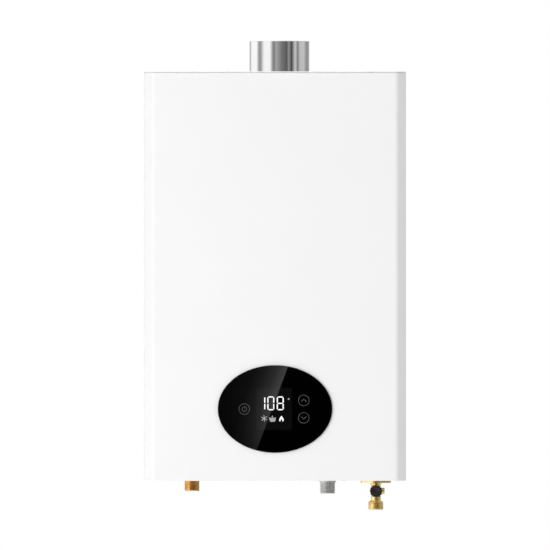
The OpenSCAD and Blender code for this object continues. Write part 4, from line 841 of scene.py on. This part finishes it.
def make_lit_figures():
    """The three figures and the flame, which are lit."""
    bm = bmesh.new()
    for digit, x in FIGURES.items():
        figure(bm, digit, x)
    half_flame = [(0.0, 3.7), (1.7, 1.6), (2.8, -0.5), (3.1, -2.2), (2.2, -3.7), (1.3, -3.7), (1.1, -1.8),
                  (0.0, 0.1)]
    sign(bm, mirrored(half_flame), FLAME_SPOT)
    hand_over(place_mesh("lit_figures", bm), "lit_digit", slot="white_plastic")


def make_pale_signs():
    """The basin with its drop, and the degree dot."""
    dot = 2.4
    basin = [(-4.8, 2.7), (-4.4, 1.3), (-3.8, -1.2), (-2.9, -3.6), (3.3, -3.6), (4.1, -1.2), (4.4, 1.6),
             (4.8, 2.7), (3.6, 1.7), (-3.6, 1.7)]
    drop = [(-0.1, 4.8), (0.9, 3.2), (0.5, 2.3), (-0.7, 2.3), (-1.1, 3.2)]
    bm = bmesh.new()
    sign(bm, basin, BASIN_SPOT)
    sign(bm, drop, BASIN_SPOT)
    sign(bm, ellipse(*DEGREE_SPOT, dot, dot, 24))
    hand_over(place_mesh("pale_signs", bm), "pale_sign", slot="white_plastic")


def make_frost_sign():
    """A star of six arms."""
    arms, tilt, length, width = 6, 35.0, 4.3, 0.75
    outline = []
    for k in range(arms):
        angle = math.radians(tilt + 360.0 * k / arms)
        between = angle + math.pi / arms
        along = Vector((math.cos(angle), math.sin(angle)))
        across = along.orthogonal() * width / 2
        notch = Vector((math.cos(between), math.sin(between))) * width
        outline += [along * length - across, along * length + across, notch]
    bm = bmesh.new()
    sign(bm, outline, STAR_SPOT)
    hand_over(place_mesh("frost_sign", bm), "grey_sign", slot="white_plastic")


def make_key_lines():
    """The touch keys: printed circles, two chevrons and the power sign."""
    wide, rise, half_line = 3.6, 1.7, 0.35
    arc_out, arc_in, half_stroke, stroke_low, stroke_high = 3.3, 2.85, 0.25, 0.6, 3.9
    inner, outer = KEY_R - KEY_LINE / 2, KEY_R + KEY_LINE / 2
    bm = bmesh.new()
    ring = [(inner, -MARK_BACK), (outer, -MARK_BACK), (outer, -MARK_FRONT), (inner, -MARK_FRONT)]
    for x, z in KEYS.values():
        turned(bm, ring, (x, 0.0, z + PANEL_Z), "Y", 72)
    for name, way in (("warmer", 1.0), ("cooler", -1.0)):
        chevron = [(-wide, -rise * way), (0.0, rise * way), (wide, -rise * way)]
        upper = [(x, z + half_line) for x, z in reversed(chevron)]
        sign(bm, [(x, z - half_line) for x, z in chevron] + upper, KEYS[name])
    sign(bm, arc(0.0, 0.0, arc_out, 120, 420, 40) + arc(0.0, 0.0, arc_in, 420, 120, 40), KEYS["power"])
    sign(bm, mirrored([(half_stroke, stroke_low), (half_stroke, stroke_high)]), KEYS["power"])
    hand_over(place_mesh("touch_key_lines", bm), "key_line", slot="white_plastic")


# Pipe threads and screws by Geometry Nodes

def new_tree(name, *inputs):
    """A geometry tree with named inputs, and its inputs' outlets."""
    tree = bpy.data.node_groups.new(name, "GeometryNodeTree")
    for label, kind in (("Geometry", "Geometry"), *inputs, ("Finish", "Material")):
        tree.interface.new_socket(name=label, in_out="INPUT", socket_type="NodeSocket" + kind)
    tree.interface.new_socket(name="Geometry", in_out="OUTPUT", socket_type="NodeSocketGeometry")
    return tree, put(tree, "NodeGroupInput").outputs


def close_tree(tree, given, geometry):
    """Every tree ends in plain mesh with its finish."""
    real = put(tree, "GeometryNodeRealizeInstances", {"Geometry": geometry})
    coat = put(tree, "GeometryNodeSetMaterial", {"Geometry": real, "Material": given["Finish"]})
    put(tree, "NodeGroupOutput", {"Geometry": coat})
    return tree


def thread_tree():
    """A pipe thread: a three-sided ridge that runs up a spiral and fades out at both ends."""
    tree, given = new_tree("pipe_thread", ("Pitch", "Float"), ("Turns", "Float"),
                           ("Crest Radius", "Float"), ("Ridge", "Float"), ("Steps", "Int"))
    fade_turns, thinnest = 0.5, 0.35
    middle = math_of(tree, "SUBTRACT", given["Crest Radius"], given["Ridge"])
    path = put(tree, "GeometryNodeCurveSpiral", {
        "Resolution": given["Steps"], "Rotations": given["Turns"], "Start Radius": middle,
        "End Radius": middle, "Height": math_of(tree, "MULTIPLY", given["Pitch"], given["Turns"])})
    upright = put(tree, "GeometryNodeSetCurveNormal", {"Curve": path}, mode="Z_UP")
    turn = math_of(tree, "MULTIPLY", put(tree, "GeometryNodeSplineParameter"), given["Turns"])
    from_end = math_of(tree, "MINIMUM", turn, math_of(tree, "SUBTRACT", given["Turns"], turn))
    fade = math_of(tree, "MINIMUM", math_of(tree, "DIVIDE", from_end, fade_turns), 1.0)
    width = math_of(tree, "MAXIMUM", fade, thinnest)
    spiral = put(tree, "GeometryNodeSetCurveRadius", {"Curve": upright, "Radius": width})
    ridge = put(tree, "GeometryNodeCurvePrimitiveCircle", {"Resolution": 3, "Radius": given["Ridge"]},
                mode="RADIUS")
    crest_out = put(tree, "GeometryNodeTransform", {"Geometry": ridge, "Rotation": (0.0, 0.0, math.pi)})
    sweep = put(tree, "GeometryNodeCurveToMesh", {"Curve": spiral, "Profile Curve": crest_out,
                                                  "Fill Caps": True})
    flat = put(tree, "GeometryNodeSetShadeSmooth", {"Geometry": sweep, "Shade Smooth": False})
    return close_tree(tree, given, flat)


def screw_tree():
    """One screw on each point, its head turned the way that the point faces."""
    tree, given = new_tree("screws_on_points", ("Screw", "Object"))
    shape = put(tree, "GeometryNodeObjectInfo", {"Object": given["Screw"]})
    facing = put(tree, "GeometryNodeInputNamedAttribute", {"Name": "facing"}, data_type="FLOAT_VECTOR")
    turn = put(tree, "FunctionNodeAlignRotationToVector", {"Vector": facing}, axis="Z")
    seats = put(tree, "GeometryNodeInstanceOnPoints", {
        "Points": given["Geometry"], "Instance": shape.outputs["Geometry"], "Rotation": turn})
    return close_tree(tree, given, seats)


def run_tree(name, points, tree, values, facing=None):
    """Runs a tree on points and keeps its result as a plain mesh."""
    mesh = bpy.data.meshes.new(name)
    mesh.from_pydata(points, [], [])
    if facing:
        ways = mesh.attributes.new("facing", "FLOAT_VECTOR", "POINT")
        ways.data.foreach_set("vector", [c for way in facing for c in way])
    piece = add_object(name, mesh)
    step = piece.modifiers.new(tree.name, "NODES")
    step.node_group = tree
    named = {item.name: item.identifier for item in tree.interface.items_tree if item.in_out == "INPUT"}
    for label, value in values.items():
        step[named[label]] = value
    bake(piece)
    return piece


def make_thread(name, tree, low, high, look, slot):
    """A male pipe thread between two heights."""
    x, y, _ = in_mm(*MOUNTS[name]["pos_m"])
    piece = run_tree(name, [(0, 0, 0)], tree, {
        "Pitch": PITCH * MM, "Turns": (high - low) / PITCH, "Crest Radius": THREAD_R * MM,
        "Ridge": RIDGE * MM, "Steps": 64, "Finish": bpy.data.materials[look]})
    piece.data.transform(Matrix.Translation((x * MM, y * MM, (low - HANG_Z) * MM)))
    hand_over(piece, look, slot=slot)


def cross_arm(way):
    """One arm of a cross recess, tapered towards its bottom."""
    half_l, half_w, half_d = HEAD_R * 0.575, HEAD_R * 0.13, HEAD_R * 0.4
    rows = []
    for taper, z in ((0.4, HANG_Z - half_d), (1.0, HANG_Z + half_d)):
        corners = [(a * half_l * taper, b * half_w) for a, b in ((-1, -1), (1, -1), (1, 1), (-1, 1))]
        rows.append([(x, y, z) if way == "X" else (-y, x, z) for x, y in corners])
    bm = bmesh.new()
    loft(bm, rows)
    return place_mesh("cross_arm", bm)


def sunk_screw():
    """A countersunk cross-head screw: the top of its head at the frame's origin, its shank down."""
    profile = [(HEAD_R - 0.3, 0), (HEAD_R, -0.25), (SHANK_R, SHANK_R - HEAD_R), (SHANK_R, -SCREW_L)]
    screw = bar("sunk_screw", filled(profile), (0, 0, HANG_Z), segments=40)
    for way in "XY":
        combine(screw, cross_arm(way), "DIFFERENCE")
    shade_soft(screw.data, 35.0)
    return screw


def make_screws():
    """The screws of the cover and of the valve's flange; a seat is a point and the way of its head."""
    (_, _, cover_low), (_, _, cover_high) = node_box("cover_screws")
    flange_low = node_box("inlet_flange_screws")[0][2]
    up, down = (0.0, 0.0, 1.0), (0.0, 0.0, -1.0)
    cover_seats = [((x, COVER_SCREW_Y, z), way) for x in COVER_SCREWS_X
                   for z, way in ((cover_low, down), (cover_high, up))]
    flange_seats = [((COLD_X + x, MID_Y, flange_low), down) for x in FLANGE_SCREWS_X]
    tree, screw = screw_tree(), sunk_screw()
    values = {"Screw": screw, "Finish": bpy.data.materials["screw_steel"]}
    for name, seats, node in (("cover_cross_screws", cover_seats, "cover_screws"),
                              ("flange_cross_screws", flange_seats, "inlet_flange_screws")):
        spots = [TO_FRAME @ Vector(spot) for spot, _ in seats]
        piece = run_tree(name, spots, tree, values, [way for _, way in seats])
        hand_over(piece, "screw_steel", node)
    bpy.data.objects.remove(screw)


# Connections under the casing

def make_nipple(name, node, neck, thread_high, look, slot, threads):
    """A turned connection with its neck and its thread."""
    x, y, _ = in_mm(*MOUNTS[name + "_thread"]["pos_m"])
    (_, _, low), (_, _, top) = node_box(node)
    sink_w, sink_d, thread_low = 0.4, 0.5, low + 0.7
    profile = [(BORE_R, top), (neck[0][0], top)] + neck
    profile += [(CORE_R, low + CHAMFER_H), (CORE_R - CHAMFER_W, low), (BORE_R + sink_w, low),
                (BORE_R, low + sink_d)]
    hand_over(bar(name + "_body", profile, (x, y, 0.0), smooth=30.0), look, node, slot=slot)
    make_thread(name + "_thread", threads, thread_low, thread_high, look, slot)


def soft_casting(piece, grain, passes):
    """Runs a piece's forms together with the round inner corners of a casting."""
    step = piece.modifiers.new("skin", "REMESH")
    step.mode = "VOXEL"
    step.voxel_size = grain * MM
    ease = piece.modifiers.new("ease", "SMOOTH")
    ease.factor = 0.5
    ease.iterations = passes
    bake(piece)


def drop_slivers(piece):
    """Takes out the needle faces that a cut through a fine mesh leaves."""
    bm = bmesh.new()
    bm.from_mesh(piece.data)
    bmesh.ops.dissolve_degenerate(bm, dist=0.004 * MM, edges=bm.edges)
    bm.to_mesh(piece.data)
    bm.free()


def valve_casting():
    """The valve's flange, neck, drain barrel and spout, run together."""
    points = ellipse(COLD_X, MID_Y, 2 * FLANGE_R, 2 * FLANGE_R, 64)
    for x in FLANGE_SCREWS_X:
        points += ellipse(COLD_X + x, MID_Y, 2 * EAR_R, 2 * EAR_R, 40)
    bm = bmesh.new()
    plate(bm, [points[k] for k in convex_hull_2d(points)], FLANGE_LOW, FLANGE_HIGH)
    body = place_mesh("inlet_valve_casting", bm)
    flare, chamfer = 2.0, 1.2
    back, front = VALVE_FRONT - MID_Y - BARREL_R, -2.5
    neck = [(NECK_R, NECK_LOW), (NECK_R, FLANGE_LOW - flare), (NECK_R + flare, FLANGE_LOW),
            (NECK_R + flare, 0.0)]
    barrel = [(BARREL_R - chamfer, back), (BARREL_R, back + chamfer), (BARREL_R, front)]
    spout = [(SPOUT_R, 0.0), (SPOUT_R, SPOUT_L - 2.6)]
    combine(body, bar("neck", filled(neck), PIPE_LINE), "UNION")
    combine(body, bar("barrel", filled(barrel), DRAIN_LINE, "Y"), "UNION")
    combine(body, bar("spout", filled(spout), SPOUT_LINE, "X", 64), "UNION")
    soft_casting(body, grain=0.4, passes=8)
    return body


def valve_ends():
    """The ends that are turned on the casting: thread core, spigot, gland seat and spout."""
    rib_r, groove_r = SPOUT_R + 0.05, SPOUT_R - 0.5
    seat_r, face_r = BARREL_R + 0.05, BARREL_R - 0.8
    core = [(CORE_R - CHAMFER_W, COLD_LOW), (CORE_R, COLD_LOW + CHAMFER_H), (CORE_R, NECK_LOW - 2.0),
            (CORE_R + 1.0, NECK_LOW - 1.9), (NECK_R + 1.5, NECK_LOW), (NECK_R + 0.5, NECK_LOW + 0.3),
            (NECK_R - 0.6, NECK_LOW + 1.4)]
    spigot = [(SPIGOT_R, 0.6), (SPIGOT_R, VALVE_TOP)]
    seat = [(face_r + 0.2, -4.6), (seat_r, -3.7), (seat_r, -1.7), (face_r, -0.9), (face_r, 0.0)]
    spout = [(groove_r, SPOUT_L - 4.0), (rib_r, SPOUT_L - 3.2), (rib_r, SPOUT_L - 2.8),
             (groove_r, SPOUT_L - 2.4), (groove_r, SPOUT_L - 1.6), (SPOUT_R, SPOUT_L - 1.2),
             (SPOUT_R, SPOUT_L - 0.4), (SPOUT_R - 0.4, SPOUT_L)]
    bm = bmesh.new()
    turned(bm, filled(core), PIPE_LINE)
    turned(bm, filled(spigot), PIPE_LINE)
    turned(bm, filled(seat), DRAIN_LINE, "Y")
    turned(bm, filled(spout), SPOUT_LINE, "X", 64)
    return place_mesh("turned_ends", bm)


def valve_bores():
    """What is drilled out of the valve: its water ways and the seats of the flange screws."""
    mouth, drain_depth, seat_r = COLD_LOW - 1.0, 11.8, SHANK_R + 0.1
    lower = [(BORE_R + 1.0, mouth), (BORE_R, COLD_LOW + 0.6), (BORE_R, COLD_LOW + 9.1)]
    through = [(WAY_R, mouth - 1.0), (WAY_R, VALVE_TOP + 1.0)]
    drain = [(DRAIN_R, -drain_depth), (DRAIN_R, 1.0)]
    spout = [(SPOUT_WAY_R, 0.0), (SPOUT_WAY_R, SPOUT_L - 0.3), (SPOUT_WAY_R + 0.5, SPOUT_L + 0.2)]
    seat = [(HEAD_R + 0.6, FLANGE_LOW - 0.4), (seat_r, FLANGE_LOW + 2.0), (seat_r, FLANGE_HIGH + 0.6)]
    bores = bar("lower_bore", filled(lower), PIPE_LINE)
    combine(bores, bar("through_bore", filled(through), PIPE_LINE, "Z", 64), "UNION")
    combine(bores, bar("drain_bore", filled(drain), DRAIN_LINE, "Y", 64), "UNION")
    combine(bores, bar("spout_bore", filled(spout), SPOUT_LINE, "X", 64), "UNION")
    for x in FLANGE_SCREWS_X:
        combine(bores, bar("screw_seat", filled(seat), (COLD_X + x, MID_Y, 0.0), "Z", 48), "UNION")
    return bores


def make_inlet_valve(threads):
    """The cold inlet: a brass casting with turned ends, bores and a male thread."""
    body = valve_casting()
    combine(body, valve_ends(), "UNION")
    combine(body, valve_bores(), "DIFFERENCE")
    drop_slivers(body)
    shade_soft(body.data, 32.0)
    hand_over(body, "cast_brass", "inlet_valve_body", slot="yellow_brass")
    thread_low, thread_high = COLD_LOW + 1.0, NECK_LOW - 2.2
    make_thread("cold_inlet_thread", threads, thread_low, thread_high, "yellow_brass", "yellow_brass")


def make_gland():
    """The hexagonal gland nut of the drain."""
    bore_r, stem_r, stem_l = 3.2, 4.65, 5.0
    half_flat, corner_r, thick, chamfer = 6.5, 7.6, 4.0, 0.6

    def hexagon(r, angle):
        """Cuts a radius back to the flats."""
        if r <= stem_r:
            return r
        return min(r, half_flat / math.cos((angle + math.pi / 6) % (math.pi / 3) - math.pi / 6))
    profile = [(bore_r, -stem_l), (stem_r, -stem_l), (stem_r, 0.0), (corner_r - 1.0, 0.0),
               (corner_r, chamfer), (corner_r, thick - chamfer), (corner_r - 1.0, thick),
               (bore_r + 0.4, thick), (bore_r, thick - 0.4)]
    nut = bar("gland_nut", profile, DRAIN_LINE, "Y", shape=hexagon, smooth=25.0)
    hand_over(nut, "yellow_brass", "drain_gland")


def make_knob():
    """The fluted knob that turns with the drain spindle."""
    flutes, flute_r, flute_reach = 12, 1.7, KNOB_R + 0.9
    hole_r, hole_l = 3.0, 7.7
    foot_r, crown_r, dish_r, dish_h = 0.8, 1.6, 4.7, KNOB_H - 1.5

    def fluted(r, angle):
        """Cuts a radius back where a flute runs."""
        step = 2 * math.pi / flutes
        off = abs(angle % step - step / 2)
        way = flute_reach * math.sin(off)
        if r <= dish_r or way >= flute_r:
            return r
        return min(r, flute_reach * math.cos(off) - math.sqrt(flute_r ** 2 - way ** 2))
    profile = [(hole_r, hole_l), (hole_r, 0.0)]
    profile += arc(KNOB_R - foot_r, foot_r, foot_r, -90, 0, 4)
    profile += arc(KNOB_R - crown_r, KNOB_H - crown_r, crown_r, 0, 90, 6)
    profile += [(dish_r, KNOB_H), (dish_r - 0.35, KNOB_H - 0.15), (dish_r - 0.6, KNOB_H - 0.6),
                (dish_r - 0.8, dish_h + 0.2), (dish_r - 1.1, dish_h)]
    knob = bar("fluted_knob", filled(profile), (COLD_X, KNOB_BACK, KNOB_Z), "Y", 240, fluted, smooth=38.0)
    even_normals(knob)
    hand_over(knob, "knob_black", "drain_knob", body="drain_handle")


# The whole object

make_finishes()
set_camera()
set_world()
set_key_light()
set_floor()
set_panel_card()
set_bounce_card()

make_cover()
make_flue()
make_panel()
make_window()
make_lit_figures()
make_pale_signs()
make_frost_sign()
make_key_lines()
threads = thread_tree()
make_nipple("hot_outlet", "outlet_nipple", HOT_NECK, HOT_THREAD_TOP, "hot_brass", "yellow_brass", threads)
make_nipple("gas_inlet", "gas_inlet_nipple", GAS_NECK, GAS_THREAD_TOP, "nickel_fitting", "screw_steel",
            threads)
make_inlet_valve(threads)
make_gland()
make_knob()
make_screws()
soft_copy("back_shell", "rear_shell", 0.3, "white_powder_coat")
soft_copy("mounting_brackets", "wall_brackets", 0.3, "zinc_steel")
soft_copy("panel_carrier", "panel_frame", 0.25, "black_plastic")

# Every CAD node takes the finish of its own slot
for node in frame["nodes"].values():
    for spot in node.material_slots:
        spot.material = bpy.data.materials[spot.material.name.removeprefix("plain_")]
